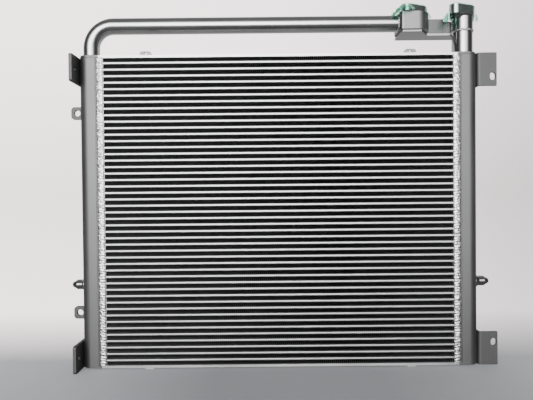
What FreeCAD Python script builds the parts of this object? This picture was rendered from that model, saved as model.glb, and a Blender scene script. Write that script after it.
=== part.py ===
import FreeCAD, Part
import os
import re

import Sketcher

# Bar-and-plate oil cooler of an excavator's hydraulic circuit, in millimetres.
# +X is to the right, +Y towards the rear and +Z up. The origin is the centre of the base:
# the foot pads stand on z = 0, and the core is centred on x = 0 and y = 0.

DIMENSIONS = {
    # Core: rows of air fin between oil passages, each closed by bars and two parting sheets
    "foot_height": 3.0,
    "foot_width": 16.0,
    "foot_reach": 30.0,
    "foot_place": 259.0,
    "core_half": 352.0,
    "fin_half": 342.5,
    "depth_half": 32.0,
    "fin_recess": 0.5,
    "plate_thick": 4.7,
    "fin_height": 8.0,
    "fin_rows": 48,
    "sheet_thick": 0.8,
    "bar_height": 3.1,
    "bar_width": 8.0,
    "lug_place": 260.0,
    "lug_half": 11.5,
    "lug_height": 8.5,
    "lug_thick": 5.0,
    "lug_front": 28.0,
    "lug_round": 5.0,
    "lug_hole": 2.5,
    # Tanks: D-section shells closed by a plate at each end
    "tank_outer": 393.0,
    "tank_wall": 5.0,
    "tank_round": 20.0,
    "cap_thick": 5.0,
    "tank_top": 619.0,
    "seam_inner": 342.5,
    "seam_outer": 357.0,
    "seam_bulge": 1.6,
    # Return pipe from the left tank to the port block
    "pipe_radius": 16.0,
    "pipe_bore": 13.5,
    "pipe_bend": 45.0,
    "pipe_place": 375.0,
    "pipe_level": 684.0,
    "seat_gap": 0.1,
    "seat_depth": 4.0,
    "weld_leg": 2.5,
    "base_weld_leg": 1.5,
    # Port block, its flange, and the riser on the right tank
    "block_left": 242.0,
    "block_right": 304.0,
    "block_half": 27.0,
    "block_low": 666.0,
    "block_high": 700.5,
    "block_small_round": 6.0,
    "block_large_round": 26.9,
    "block_port": 277.0,
    "block_gap": 0.2,
    "gallery_radius": 16.0,
    "gallery_floor": 669.5,
    "port_radius": 15.15,
    # Two-bolt flange on each port, with its ears on the diagonal
    "flange_top": 712.5,
    "flange_radius": 23.5,
    "ear_reach": 21.9,
    "flange_ear": 10.5,
    "bolt_radius": 4.25,
    "bolt_depth": 10.0,
    "riser_place": 372.8,
    "riser_radius": 20.0,
    "riser_bore": 16.5,
    "riser_split": 666.0,
    "neck_radius": 20.5,
    "riser_flange_low": 695.0,
    "ring_radius": 18.6,
    "ring_wire": 3.0,
    "saddle_radius": 21.8,
    # Tie plate under the port block and the bypass valve
    "tie_thick": 4.0,
    "tie_left": 246.0,
    "tie_front": 22.0,
    "tie_rear": 37.0,
    "tie_step_left": 285.0,
    "tie_step_right": 303.0,
    "tie_right": 368.0,
    # Bypass valve between inlet and outlet
    "valve_front": 5.0,
    "valve_rear": 35.0,
    "valve_left": 290.0,
    "valve_right": 337.0,
    "valve_high": 695.0,
    "arm_high": 690.0,
    "arm_rear": 21.0,
    "arm_right": 366.0,
    "valve_x": 320.0,
    "valve_y": 16.0,
    "valve_bore": 9.0,
    "seat_radius": 5.0,
    "seat_level": 676.0,
    "chamber_floor": 670.0,
    "passage_y": 12.0,
    "inlet_passage": 3.0,
    "inlet_level": 673.0,
    "outlet_passage": 3.5,
    "outlet_level": 683.0,
    "poppet_radius": 6.5,
    "poppet_thick": 3.0,
    "stem_radius": 3.0,
    "stem_top": 690.0,
    "stem_gap": 0.05,
    "plug_low": 688.0,
    "plug_guide_top": 694.0,
    "plug_gap": 0.05,
    "groove_low": 690.5,
    "groove_depth": 1.5,
    "seal_wire": 0.9,
    "spring_radius": 4.8,
    "spring_wire": 0.5,
    "spring_turns": 5.0,
    # Protective film over each port
    "film_gap": 0.4,
    "film_thick": 1.2,
    "film_top": 713.7,
    "film_roof": 0.9,
    "block_film_low": 700.8,
    "riser_film_low": 691.0,
    # Left brackets: flat plates with a round hole
    "flat_thick": 6.0,
    "flat_front": 59.0,
    "flat_rear": 11.0,
    "flat_height": 53.0,
    "flat_upper_low": 562.7,
    "flat_lower_low": 0.7,
    "flat_round": 4.0,
    "flat_hole": 5.5,
    "flat_hole_front": 42.0,
    # Right brackets: angles with a slotted hole
    "angle_thick": 5.0,
    "angle_front": 24.0,
    "angle_rear": 10.0,
    "angle_right": 431.7,
    "angle_height": 65.6,
    "angle_upper_low": 553.0,
    "angle_lower_low": 0.4,
    "angle_round": 6.0,
    "slot_x": 423.7,
    "slot_radius": 5.5,
    "slot_half_run": 2.0,
    "slot_upper": 572.0,
    "slot_lower": 45.4,
    # Left ears and the locating pins
    "ear_half": 12.75,
    "ear_outer": 417.5,
    "ear_round": 7.0,
    "ear_hole": 6.0,
    "ear_hole_x": 405.0,
    "ear_half_thick": 3.0,
    "ear_upper": 509.8,
    "ear_lower": 106.6,
    "pin_level": 163.6,
    "pin_base_radius": 14.0,
    "pin_rim": 1.5,
    "pin_radius": 10.0,
    "pin_tip_radius": 4.5,
    "pin_taper": 10.0,
    "left_pin_base": 5.5,
    "left_pin_length": 26.0,
    "right_pin_base": 9.5,
    "right_pin_length": 30.0,
    "bead_radius": 4.0,
}

# Worked out in the sheet from the driving dimensions
DERIVED = {
    "row_pitch": "fin_height + bar_height + 2 * sheet_thick",
    "core_low": "foot_height + plate_thick",
    "core_top": "core_low + (fin_rows - 1) * row_pitch + fin_height",
    "stack_top": "core_top + plate_thick",
    "tank_low": "foot_height",
    "shell_low": "tank_low + cap_thick",
    "shell_high": "tank_top - cap_thick",
    "seat_low": "tank_top - seat_depth",
    "tie_low": "block_low - tie_thick",
    "spring_low": "seat_level + poppet_thick",
}

doc = FreeCAD.newDocument("oil_cooler")
sheet = doc.addObject("Spreadsheet::Sheet", "dims")


def full(expression):
    """The expression with each alias read from the sheet."""
    return re.sub(r"[a-z][a-z_]{2,}", r"dims.\g<0>", expression)


def fill_sheet():
    """One row per dimension: its name in column A and its value, under that alias, in column B."""
    cells = [(alias, str(number)) for alias, number in DIMENSIONS.items()]
    cells += [(alias, "=" + formula) for alias, formula in DERIVED.items()]
    for row, (alias, content) in enumerate(cells, start=1):
        sheet.set(f"A{row}", alias)
        sheet.set(f"B{row}", content)
        sheet.setAlias(f"B{row}", alias)
    doc.recompute()


def value(expression):
    """The expression's number now."""
    return float(sheet.evalExpression(full(expression)))


def bind(item, path, expression):
    item.setExpression(path, full(expression))


def place(item, x, y, z):
    for axis, expression in zip("xyz", (x, y, z)):
        bind(item, f"Placement.Base.{axis}", expression)


# Part primitives, bound to the sheet

ALONG_X = FreeCAD.Rotation(FreeCAD.Vector(0, 1, 0), 90)
AGAINST_X = FreeCAD.Rotation(FreeCAD.Vector(0, 1, 0), -90)
ALONG_Y = FreeCAD.Rotation(FreeCAD.Vector(1, 0, 0), -90)
UPRIGHT = FreeCAD.Rotation()


def box(label, low, high):
    """A block between two corners, each given as three expressions."""
    item = doc.addObject("Part::Box", label)
    for size, start, end in zip(("Length", "Width", "Height"), low, high):
        bind(item, size, f"({end}) - ({start})")
    place(item, *low)
    return item


def cylinder(label, radius, length, at, turn=UPRIGHT, angle=360):
    """A cylinder from the point at, running up or along the axis that turn gives."""
    item = doc.addObject("Part::Cylinder", label)
    item.Placement = FreeCAD.Placement(FreeCAD.Vector(), turn)
    item.Angle = angle
    bind(item, "Radius", radius)
    bind(item, "Height", length)
    place(item, *at)
    return item


def cut(label, base, tools):
    """The base without the tools, taken away one after another."""
    item = base
    for number, tool in enumerate(tools):
        step = doc.addObject("Part::Cut", f"{label}_{number}")
        step.Base = item
        step.Tool = tool
        item = step
    return item


def group(label, items):
    item = doc.addObject("Part::Compound", label)
    item.Links = items
    return item


# PartDesign bodies


def new_body(label):
    return doc.addObject("PartDesign::Body", label)


def origin_feature(body, role):
    return next(item for item in body.Origin.OriginFeatures if item.Role == role)


def new_sketch(body, name, role="XY_Plane", offset="0"):
    """A sketch on one of the body's own origin planes, moved along the plane's normal."""
    sketch = body.newObject("Sketcher::SketchObject", name)
    sketch.AttachmentSupport = [(origin_feature(body, role), "")]
    sketch.MapMode = "FlatFace"
    bind(sketch, "AttachmentOffset.Base.z", offset)
    return sketch


def hold(sketch, kind, geometry, end, name, expression):
    """Holds one coordinate of a point at an expression."""
    constraint = Sketcher.Constraint(kind, -1, 1, geometry, end, value(expression))
    number = sketch.addConstraint(constraint)
    sketch.renameConstraint(number, name)
    bind(sketch, f"Constraints.{name}", expression)


def arc_between(start, corner, end, centre):
    """A round corner's arc: counter-clockwise, as the sketcher keeps it."""
    middle = centre + (corner - centre).normalize() * (start - centre).Length
    return Part.Arc(start, middle, end)


def outline(sketch, name, corners):
    """A closed outline of straight edges with round corners.

    Each corner is (x, y) or (x, y, radius), all expressions. Edges that share an expression
    along one axis are held by it, and a slanting edge is held by its ends.
    """
    count = len(corners)
    points = [FreeCAD.Vector(value(c[0]), value(c[1]), 0) for c in corners]
    rounds = [c[2] if len(c) > 2 else None for c in corners]
    starts, ends, arcs = [], [], {}
    for i in range(count):
        back = (points[i - 1] - points[i]).normalize()
        ahead = (points[(i + 1) % count] - points[i]).normalize()
        reach = value(rounds[i]) if rounds[i] else 0.0
        starts.append(points[i] + ahead * reach)
        ends.append(points[i] + back * reach)
        if rounds[i]:
            arcs[i] = points[i] + (ahead + back) * reach
    lines = []
    for i in range(count):
        line = Part.LineSegment(starts[i], ends[(i + 1) % count])
        lines.append(sketch.addGeometry(line, False))
    for i in range(count):
        before, after = lines[i - 1], lines[i]
        if i not in arcs:
            sketch.addConstraint(Sketcher.Constraint("Coincident", before, 2, after, 1))
            continue
        arc = arc_between(ends[i], points[i], starts[i], arcs[i])
        number = sketch.addGeometry(arc, False)
        first = 1 if sketch.getPoint(number, 1).distanceToPoint(ends[i]) < 1e-6 else 2
        sketch.addConstraint(Sketcher.Constraint("Tangent", before, 2, number, first))
        sketch.addConstraint(Sketcher.Constraint("Tangent", after, 1, number, 3 - first))
        radius = sketch.addConstraint(Sketcher.Constraint("Radius", number, value(rounds[i])))
        sketch.renameConstraint(radius, f"{name}_round_{i}")
        bind(sketch, f"Constraints.{name}_round_{i}", rounds[i])
    for i in range(count):
        here, there = corners[i], corners[(i + 1) % count]
        if here[0] == there[0]:
            sketch.addConstraint(Sketcher.Constraint("Vertical", lines[i]))
            hold(sketch, "DistanceX", lines[i], 1, f"{name}_x_{i}", here[0])
        elif here[1] == there[1]:
            sketch.addConstraint(Sketcher.Constraint("Horizontal", lines[i]))
            hold(sketch, "DistanceY", lines[i], 1, f"{name}_y_{i}", here[1])


def circle(sketch, name, x, y, radius):
    centre = FreeCAD.Vector(value(x), value(y), 0)
    shape = Part.Circle(centre, FreeCAD.Vector(0, 0, 1), value(radius))
    number = sketch.addGeometry(shape, False)
    size = sketch.addConstraint(Sketcher.Constraint("Radius", number, value(radius)))
    sketch.renameConstraint(size, f"{name}_radius")
    bind(sketch, f"Constraints.{name}_radius", radius)
    hold(sketch, "DistanceX", number, 3, f"{name}_x", x)
    hold(sketch, "DistanceY", number, 3, f"{name}_y", y)


def oval(sketch, x, boss, ear):
    """A two-bolt flange's outline: a boss and two ears on the diagonal, joined by tangents."""
    reach = value("ear_reach")
    along = FreeCAD.Vector(1, 1, 0).normalize()
    across = FreeCAD.Vector(1, -1, 0).normalize()
    share = (value(boss) - value(ear)) / FreeCAD.Vector(reach, reach, 0).Length
    lean, upright = along * share, across * (1 - share * share) ** 0.5
    spokes = [upright + lean, lean - upright, FreeCAD.Vector() - upright - lean, upright - lean]
    middles = [along, FreeCAD.Vector() - across, FreeCAD.Vector() - along, across]
    steps = ("+ ear_reach", "", "- ear_reach", "")
    arcs = []
    for i, step in enumerate(steps):
        radius = boss if i % 2 else ear
        across_x, across_y = f"{x} {step}", step.replace("+ ", "") or "0"
        centre = FreeCAD.Vector(value(across_x), value(across_y), 0)
        turns = (spokes[i], middles[i], spokes[(i + 1) % 4])
        arc = Part.Arc(*(centre + turn * value(radius) for turn in turns))
        number = sketch.addGeometry(arc, False)
        size = sketch.addConstraint(Sketcher.Constraint("Radius", number, value(radius)))
        sketch.renameConstraint(size, f"round_{i}")
        bind(sketch, f"Constraints.round_{i}", radius)
        hold(sketch, "DistanceX", number, 3, f"round_x_{i}", across_x)
        hold(sketch, "DistanceY", number, 3, f"round_y_{i}", across_y)
        arcs.append(number)
    for i in range(4):
        before, after = arcs[i], arcs[(i + 1) % 4]
        start, end = sketch.getPoint(before, 2), sketch.getPoint(after, 1)
        line = sketch.addGeometry(Part.LineSegment(start, end), False)
        sketch.addConstraint(Sketcher.Constraint("Tangent", before, 2, line, 1))
        sketch.addConstraint(Sketcher.Constraint("Tangent", line, 2, after, 1))


def pad(body, sketch, length):
    feature = body.newObject("PartDesign::Pad", f"{sketch.Name}_pad")
    feature.Profile = sketch
    bind(feature, "Length", length)
    return feature


def pocket(body, sketch, length, along_normal=False):
    """Cuts against the sketch's normal, or along it."""
    feature = body.newObject("PartDesign::Pocket", f"{sketch.Name}_pocket")
    feature.Profile = sketch
    feature.Reversed = along_normal
    bind(feature, "Length", length)
    return feature


def rectangle(sketch, name, x_low, x_high, y_low, y_high):
    corners = [(x_low, y_low), (x_high, y_low), (x_high, y_high), (x_low, y_high)]
    outline(sketch, name, corners)


def rows(label, sides, layers, count):
    """Equal bars stacked at the row pitch.

    sides are the bar's x and y limits, and layers the (base, height) of each bar in a pitch.
    """
    body = new_body(label)
    pads = []
    for number, (base, height) in enumerate(layers):
        sketch = new_sketch(body, f"{label}_plan_{number}", offset=base)
        rectangle(sketch, "plan", *sides)
        pads.append(pad(body, sketch, height))
    pattern = body.newObject("PartDesign::LinearPattern", f"{label}_stack")
    pattern.Originals = pads
    pattern.Direction = (origin_feature(body, "Z_Axis"), [""])
    bind(pattern, "Length", f"({count} - 1) * row_pitch")
    bind(pattern, "Occurrences", count)
    body.Tip = pattern
    return body


def turned(label, corners, x, y, z="0", turn=UPRIGHT):
    """A turned piece: corners are (radius, level), and its own axis runs along Z before turn."""
    body = new_body(label)
    body.Placement = FreeCAD.Placement(FreeCAD.Vector(), turn)
    place(body, x, y, z)
    sketch = new_sketch(body, f"{label}_section", "XZ_Plane")
    outline(sketch, "section", corners)
    feature = body.newObject("PartDesign::Revolution", f"{label}_turn")
    feature.Profile = sketch
    feature.ReferenceAxis = (sketch, ["V_Axis"])
    feature.Angle = 360
    return body


# Core

FULL_WIDTH = ("-core_half", "core_half")
FULL_DEPTH = ("-depth_half", "depth_half")
PASSAGE_LOW = "core_low + fin_height"
PASSAGES = "fin_rows - 1"


def air_fins():
    sides = ("-fin_half", "fin_half", "-(depth_half - fin_recess)", "depth_half - fin_recess")
    return rows("air_fins", sides, [("core_low", "fin_height")], "fin_rows")


def oil_turbulators():
    sides = (*FULL_WIDTH, "-(depth_half - bar_width)", "depth_half - bar_width")
    layer = (f"{PASSAGE_LOW} + sheet_thick", "bar_height")
    return rows("oil_turbulators", sides, [layer], PASSAGES)


def parting_sheets():
    lower = (PASSAGE_LOW, "sheet_thick")
    upper = (f"{PASSAGE_LOW} + sheet_thick + bar_height", "sheet_thick")
    return rows("parting_sheets", (*FULL_WIDTH, *FULL_DEPTH), [lower, upper], PASSAGES)


def oil_bars(side, y_low, y_high):
    layer = (f"{PASSAGE_LOW} + sheet_thick", "bar_height")
    return rows(f"oil_bars_{side}", (*FULL_WIDTH, y_low, y_high), [layer], PASSAGES)


def air_bars(side, x_low, x_high):
    sides = (x_low, x_high, *FULL_DEPTH)
    return rows(f"air_bars_{side}", sides, [("core_low", "fin_height")], "fin_rows")


def side_plate(level, z_low):
    low = ("-core_half", "-depth_half", z_low)
    high = ("core_half", "depth_half", f"{z_low} + plate_thick")
    return box(f"side_plate_{level}", low, high)


def top_lugs():
    """Two tabs with a small hole, welded to the top plate near its front edge."""
    body = new_body("top_lugs")
    sketch = new_sketch(body, "top_lugs_face", "XZ_Plane", "lug_front - lug_thick")
    top = "stack_top + lug_height"
    for name, centre in (("left", "-lug_place"), ("right", "lug_place")):
        west, east = f"{centre} - lug_half", f"{centre} + lug_half"
        corners = [(west, "stack_top"), (east, "stack_top")]
        corners += [(east, top, "lug_round"), (west, top, "lug_round")]
        outline(sketch, name, corners)
        circle(sketch, f"{name}_hole", centre, "stack_top + lug_height / 2", "lug_hole")
    pad(body, sketch, "lug_thick")
    return body


def foot_pads():
    pads = []
    for name, centre in (("left", "-foot_place"), ("right", "foot_place")):
        low = (f"{centre} - foot_width / 2", "-foot_reach", "0")
        high = (f"{centre} + foot_width / 2", "foot_reach", "foot_height")
        pads.append(box(f"foot_pad_{name}", low, high))
    return group("foot_pads", pads)


# Tanks


def mirrored(sign, expression):
    """An x to the right, or the same x to the left."""
    return expression if sign > 0 else f"-({expression})"


def tank(side, sign):
    """The D-section shell, open towards the core."""
    body = new_body(f"tank_{side}")
    sketch = new_sketch(body, f"tank_{side}_section", offset="shell_low")
    edge, outer = mirrored(sign, "core_half"), mirrored(sign, "tank_outer")
    lining = mirrored(sign, "tank_outer - tank_wall")
    front, rear = "-depth_half", "depth_half"
    inner_front, inner_rear = "-(depth_half - tank_wall)", "depth_half - tank_wall"
    inner_round = "tank_round - tank_wall"
    corners = [(edge, front), (outer, front, "tank_round"), (outer, rear, "tank_round")]
    corners += [(edge, rear), (edge, inner_rear), (lining, inner_rear, inner_round)]
    corners += [(lining, inner_front, inner_round), (edge, inner_front)]
    outline(sketch, "shell", corners)
    pad(body, sketch, "shell_high - shell_low")
    return body


def tank_cap(side, sign, level, z_low, hole_x=None, hole_radius=None):
    """The plate that closes one end of a tank, with a hole where a pipe sits in it."""
    label = f"tank_cap_{side}_{level}"
    body = new_body(label)
    sketch = new_sketch(body, f"{label}_plan", offset=z_low)
    edge, outer = mirrored(sign, "core_half"), mirrored(sign, "tank_outer")
    corners = [(edge, "-depth_half"), (outer, "-depth_half", "tank_round")]
    corners += [(outer, "depth_half", "tank_round"), (edge, "depth_half")]
    outline(sketch, "plan", corners)
    if hole_x:
        circle(sketch, "hole", hole_x, "0", hole_radius)
    pad(body, sketch, "cap_thick")
    return body


def weld_seams(side, sign):
    """The wide beads that join tank and core, one at the front and one at the rear."""
    body = new_body(f"weld_seams_{side}")
    sketch = new_sketch(body, f"weld_seams_{side}_section", offset="shell_low")
    inner, outer = mirrored(sign, "seam_inner"), mirrored(sign, "seam_outer")
    middle = mirrored(sign, "(seam_inner + seam_outer) / 2")
    for name, facing in (("front", "-"), ("rear", "")):
        face = f"{facing}depth_half"
        crown = f"{facing}(depth_half + seam_bulge)"
        ends = [FreeCAD.Vector(value(x), value(face), 0) for x in (inner, outer)]
        crest = FreeCAD.Vector(value(middle), value(crown), 0)
        line = sketch.addGeometry(Part.LineSegment(*ends), False)
        arc = sketch.addGeometry(Part.Arc(ends[0], crest, ends[1]), False)
        first = 1 if sketch.getPoint(arc, 1).distanceToPoint(ends[0]) < 1e-6 else 2
        sketch.addConstraint(Sketcher.Constraint("Coincident", line, 1, arc, first))
        sketch.addConstraint(Sketcher.Constraint("Coincident", line, 2, arc, 3 - first))
        hold(sketch, "DistanceX", line, 1, f"{name}_inner", inner)
        hold(sketch, "DistanceX", line, 2, f"{name}_outer", outer)
        hold(sketch, "DistanceY", line, 1, f"{name}_face", face)
        sketch.addConstraint(Sketcher.Constraint("Horizontal", line))
        chord = "(seam_outer - seam_inner) / 2"
        radius = f"({chord} * {chord} + seam_bulge * seam_bulge) / (2 * seam_bulge)"
        size = sketch.addConstraint(Sketcher.Constraint("Radius", arc, value(radius)))
        sketch.renameConstraint(size, f"{name}_radius")
        bind(sketch, f"Constraints.{name}_radius", radius)
    pad(body, sketch, "shell_high - shell_low")
    return body


# Oil lines


def return_pipe():
    """Up from the left tank, round one bend and across to the port block."""
    body = new_body("return_pipe")
    path = new_sketch(body, "pipe_path", "XZ_Plane")
    west, level = value("-pipe_place"), value("pipe_level")
    bend = value("pipe_bend")
    foot = FreeCAD.Vector(west, value("seat_low"), 0)
    rise = FreeCAD.Vector(west, level - bend, 0)
    centre = FreeCAD.Vector(west + bend, level - bend, 0)
    turn = FreeCAD.Vector(west + bend, level, 0)
    end = FreeCAD.Vector(value("block_left + seat_depth"), level, 0)
    up = path.addGeometry(Part.LineSegment(foot, rise), False)
    arc = path.addGeometry(arc_between(rise, FreeCAD.Vector(west, level, 0), turn, centre), False)
    across = path.addGeometry(Part.LineSegment(turn, end), False)
    first = 1 if path.getPoint(arc, 1).distanceToPoint(rise) < 1e-6 else 2
    path.addConstraint(Sketcher.Constraint("Tangent", up, 2, arc, first))
    path.addConstraint(Sketcher.Constraint("Tangent", across, 1, arc, 3 - first))
    path.addConstraint(Sketcher.Constraint("Vertical", up))
    path.addConstraint(Sketcher.Constraint("Horizontal", across))
    size = path.addConstraint(Sketcher.Constraint("Radius", arc, bend))
    path.renameConstraint(size, "bend")
    bind(path, "Constraints.bend", "pipe_bend")
    hold(path, "DistanceX", up, 1, "west", "-pipe_place")
    hold(path, "DistanceY", up, 1, "foot", "seat_low")
    hold(path, "DistanceX", across, 2, "east", "block_left + seat_depth")
    hold(path, "DistanceY", across, 2, "level", "pipe_level")
    ring = new_sketch(body, "pipe_ring", offset="seat_low")
    circle(ring, "outside", "-pipe_place", "0", "pipe_radius")
    circle(ring, "inside", "-pipe_place", "0", "pipe_bore")
    doc.recompute()
    sweep = body.newObject("PartDesign::AdditivePipe", "pipe_sweep")
    sweep.Profile = ring
    sweep.Spine = (path, [f"Edge{number}" for number in (1, 2, 3)])
    return body


def fillet_ring(label, radius, leg, x, y, z, turn=UPRIGHT):
    """A weld fillet round a tube, standing on the face that the tube meets."""
    inside = f"{radius} + seat_gap"
    corners = [(inside, "0"), (f"{radius} + {leg}", "0"), (inside, leg)]
    body = new_body(label)
    body.Placement = FreeCAD.Placement(FreeCAD.Vector(), turn)
    place(body, x, y, z)
    sketch = new_sketch(body, f"{label}_section", "XZ_Plane")
    points = [FreeCAD.Vector(value(c[0]), value(c[1]), 0) for c in corners]
    lines = []
    for start, end in zip(points, points[1:] + points[:1]):
        lines.append(sketch.addGeometry(Part.LineSegment(start, end), False))
    for before, after in zip(lines, lines[1:] + lines[:1]):
        sketch.addConstraint(Sketcher.Constraint("Coincident", before, 2, after, 1))
    for number, (x_at, y_at) in enumerate(corners):
        hold(sketch, "DistanceX", lines[number], 1, f"radius_{number}", x_at)
        hold(sketch, "DistanceY", lines[number], 1, f"level_{number}", y_at)
    feature = body.newObject("PartDesign::Revolution", f"{label}_turn")
    feature.Profile = sketch
    feature.ReferenceAxis = (sketch, ["V_Axis"])
    feature.Angle = 360
    return body


def port_block():
    """The elbow block: the pipe enters from the left and the oil leaves upwards."""
    body = new_body("port_block")
    plan = new_sketch(body, "port_block_plan", offset="block_low")
    small, large = "block_small_round", "block_large_round"
    corners = [("block_left", "-block_half", small), ("block_right", "-block_half", large)]
    corners += [("block_right", "block_half", large), ("block_left", "block_half", small)]
    outline(plan, "plan", corners)
    pad(body, plan, "block_high - block_low")
    doc.recompute()
    gallery = new_sketch(body, "port_block_gallery", offset="block_high")
    circle(gallery, "gallery", "block_port", "0", "gallery_radius")
    pocket(body, gallery, "block_high - gallery_floor")
    doc.recompute()
    bore = new_sketch(body, "port_block_bore", "YZ_Plane", "block_left")
    circle(bore, "bore", "0", "pipe_level", "pipe_bore")
    pocket(body, bore, "block_port - block_left", along_normal=True)
    doc.recompute()
    seat = new_sketch(body, "port_block_seat", "YZ_Plane", "block_left")
    circle(seat, "seat", "0", "pipe_level", "pipe_radius + seat_gap")
    pocket(body, seat, "seat_depth", along_normal=True)
    doc.recompute()
    passage = new_sketch(body, "port_block_passage", "YZ_Plane", "block_right")
    circle(passage, "passage", "passage_y", "outlet_level", "outlet_passage")
    pocket(body, passage, "block_right - block_port")
    return body


def port_flange(label, x, low):
    """A two-bolt flange from the level low up to the flange top, with blind bolt holes."""
    body = new_body(label)
    plan = new_sketch(body, f"{label}_plan", offset=low)
    oval(plan, x, "flange_radius", "flange_ear")
    pad(body, plan, f"flange_top - {low}")
    doc.recompute()
    bore = new_sketch(body, f"{label}_bore", offset="flange_top")
    circle(bore, "bore", x, "0", "port_radius")
    pocket(body, bore, f"flange_top - {low}")
    doc.recompute()
    bolts = new_sketch(body, f"{label}_bolts", offset="flange_top")
    circle(bolts, "near", f"{x} - ear_reach", "-ear_reach", "bolt_radius")
    circle(bolts, "far", f"{x} + ear_reach", "ear_reach", "bolt_radius")
    pocket(body, bolts, "bolt_depth")
    return body


def block_port_head():
    return port_flange("block_port_head", "block_port", "block_high")


def riser_tube():
    corners = [("riser_bore", "tank_top"), ("riser_radius", "tank_top")]
    corners += [("riser_radius", "riser_split"), ("riser_bore", "riser_split")]
    return turned("riser_tube", corners, "riser_place", "0")


def riser_port_head():
    """The neck and flange on top of the riser, drilled for the bypass."""
    corners = [("port_radius", "riser_split"), ("neck_radius", "riser_split")]
    corners += [("neck_radius", "riser_flange_low"), ("port_radius", "riser_flange_low")]
    whole = doc.addObject("Part::Fuse", "riser_port_blank")
    whole.Base = turned("riser_neck", corners, "riser_place", "0")
    whole.Tool = port_flange("riser_flange", "riser_place", "riser_flange_low")
    start = ("riser_place - saddle_radius", "passage_y", "inlet_level")
    drill = cylinder("riser_drill", "inlet_passage", "saddle_radius", start, ALONG_X)
    return cut("riser_port_head", whole, [drill])


def riser_weld():
    """The bead round the riser where the tube and the neck meet."""
    torus = doc.addObject("Part::Torus", "riser_bead")
    bind(torus, "Radius1", "ring_radius")
    bind(torus, "Radius2", "ring_wire")
    place(torus, "riser_place", "0", "riser_split")
    at = ("riser_place", "0", "riser_split - ring_wire")
    core = cylinder("riser_bead_core", "neck_radius + seat_gap", "2 * ring_wire", at)
    return cut("riser_weld", torus, [core])


def pipe_welds():
    """The fillets at the two ends of the return pipe."""
    leg = "weld_leg"
    at = ("-pipe_place", "0", "tank_top")
    tank_ring = fillet_ring("pipe_weld_tank", "pipe_radius", leg, *at)
    at = ("block_left", "0", "pipe_level")
    block_ring = fillet_ring("pipe_weld_block", "pipe_radius", leg, *at, AGAINST_X)
    return group("pipe_welds", [tank_ring, block_ring])


def riser_base_weld():
    at = ("riser_place", "0", "tank_top")
    return fillet_ring("riser_base_weld", "riser_radius", "base_weld_leg", *at)


def tie_plate():
    """The plate under the port block and the bypass valve, notched round the riser."""
    body = new_body("tie_plate_blank")
    sketch = new_sketch(body, "tie_plate_plan", offset="tie_low")
    stops = [("tie_left", "-tie_front"), ("tie_step_left", "-tie_front")]
    stops += [("tie_step_right", "valve_front"), ("tie_right", "valve_front")]
    stops += [("tie_right", "tie_rear"), ("tie_left", "tie_rear")]
    outline(sketch, "plan", stops)
    hold(sketch, "DistanceX", 1, 1, "step_left", "tie_step_left")
    hold(sketch, "DistanceX", 1, 2, "step_right", "tie_step_right")
    pad(body, sketch, "tie_thick")
    at = ("riser_place", "0", "tie_low")
    notch = cylinder("tie_plate_notch", "saddle_radius", "tie_thick", at)
    return cut("tie_plate", body, [notch])


# Bypass valve


def bypass_body():
    """The valve housing and the arm that carries its inlet passage to the riser."""
    low = ("valve_left", "valve_front", "block_low")
    housing = box("valve_housing", low, ("valve_right", "valve_rear", "valve_high"))
    low = ("valve_right", "valve_front", "block_low")
    arm = box("valve_arm", low, ("arm_right", "arm_rear", "arm_high"))
    whole = doc.addObject("Part::Fuse", "valve_blank")
    whole.Base = housing
    whole.Tool = arm
    centre, high = ("valve_x", "valve_y"), "valve_high - block_low"
    bore, chamber = "valve_high - seat_level", "seat_level - chamber_floor"
    tools = [
        cylinder("valve_side", "block_half + block_gap", high, ("block_port", "0", "block_low")),
        cylinder("valve_saddle", "saddle_radius", high, ("riser_place", "0", "block_low")),
        cylinder("valve_bore_cut", "valve_bore", bore, (*centre, "seat_level")),
        cylinder("valve_chamber", "seat_radius", chamber, (*centre, "chamber_floor")),
        cylinder(
            "valve_inlet",
            "inlet_passage",
            "riser_place - valve_x",
            ("valve_x", "passage_y", "inlet_level"),
            ALONG_X,
        ),
        cylinder(
            "valve_outlet",
            "outlet_passage",
            "valve_x - block_port",
            ("block_port", "passage_y", "outlet_level"),
            ALONG_X,
        ),
    ]
    return cut("bypass_body", whole, tools)


def bypass_poppet():
    """A disc on the seat with a stem that the plug guides."""
    top = "seat_level + poppet_thick"
    corners = [("0", "seat_level"), ("poppet_radius", "seat_level"), ("poppet_radius", top)]
    corners += [("stem_radius", top), ("stem_radius", "stem_top"), ("0", "stem_top")]
    return turned("bypass_poppet", corners, "valve_x", "valve_y")


def bypass_plug():
    """The plug that closes the bore: a blind guide below and a seal groove round it."""
    outer, guide = "valve_bore - plug_gap", "stem_radius + stem_gap"
    groove, groove_high = "valve_bore - plug_gap - groove_depth", "groove_low + 2 * seal_wire"
    corners = [("0", "plug_guide_top"), (guide, "plug_guide_top"), (guide, "plug_low")]
    corners += [(outer, "plug_low"), (outer, "groove_low"), (groove, "groove_low")]
    corners += [(groove, groove_high), (outer, groove_high)]
    corners += [(outer, "valve_high"), ("0", "valve_high")]
    return turned("bypass_plug", corners, "valve_x", "valve_y")


def bypass_seal():
    """The ring in the plug's groove."""
    torus = doc.addObject("Part::Torus", "bypass_seal")
    bind(torus, "Radius1", "valve_bore - plug_gap - groove_depth + seal_wire - seat_gap")
    bind(torus, "Radius2", "seal_wire - 2 * seat_gap")
    place(torus, "valve_x", "valve_y", "groove_low + seal_wire")
    return torus


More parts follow.
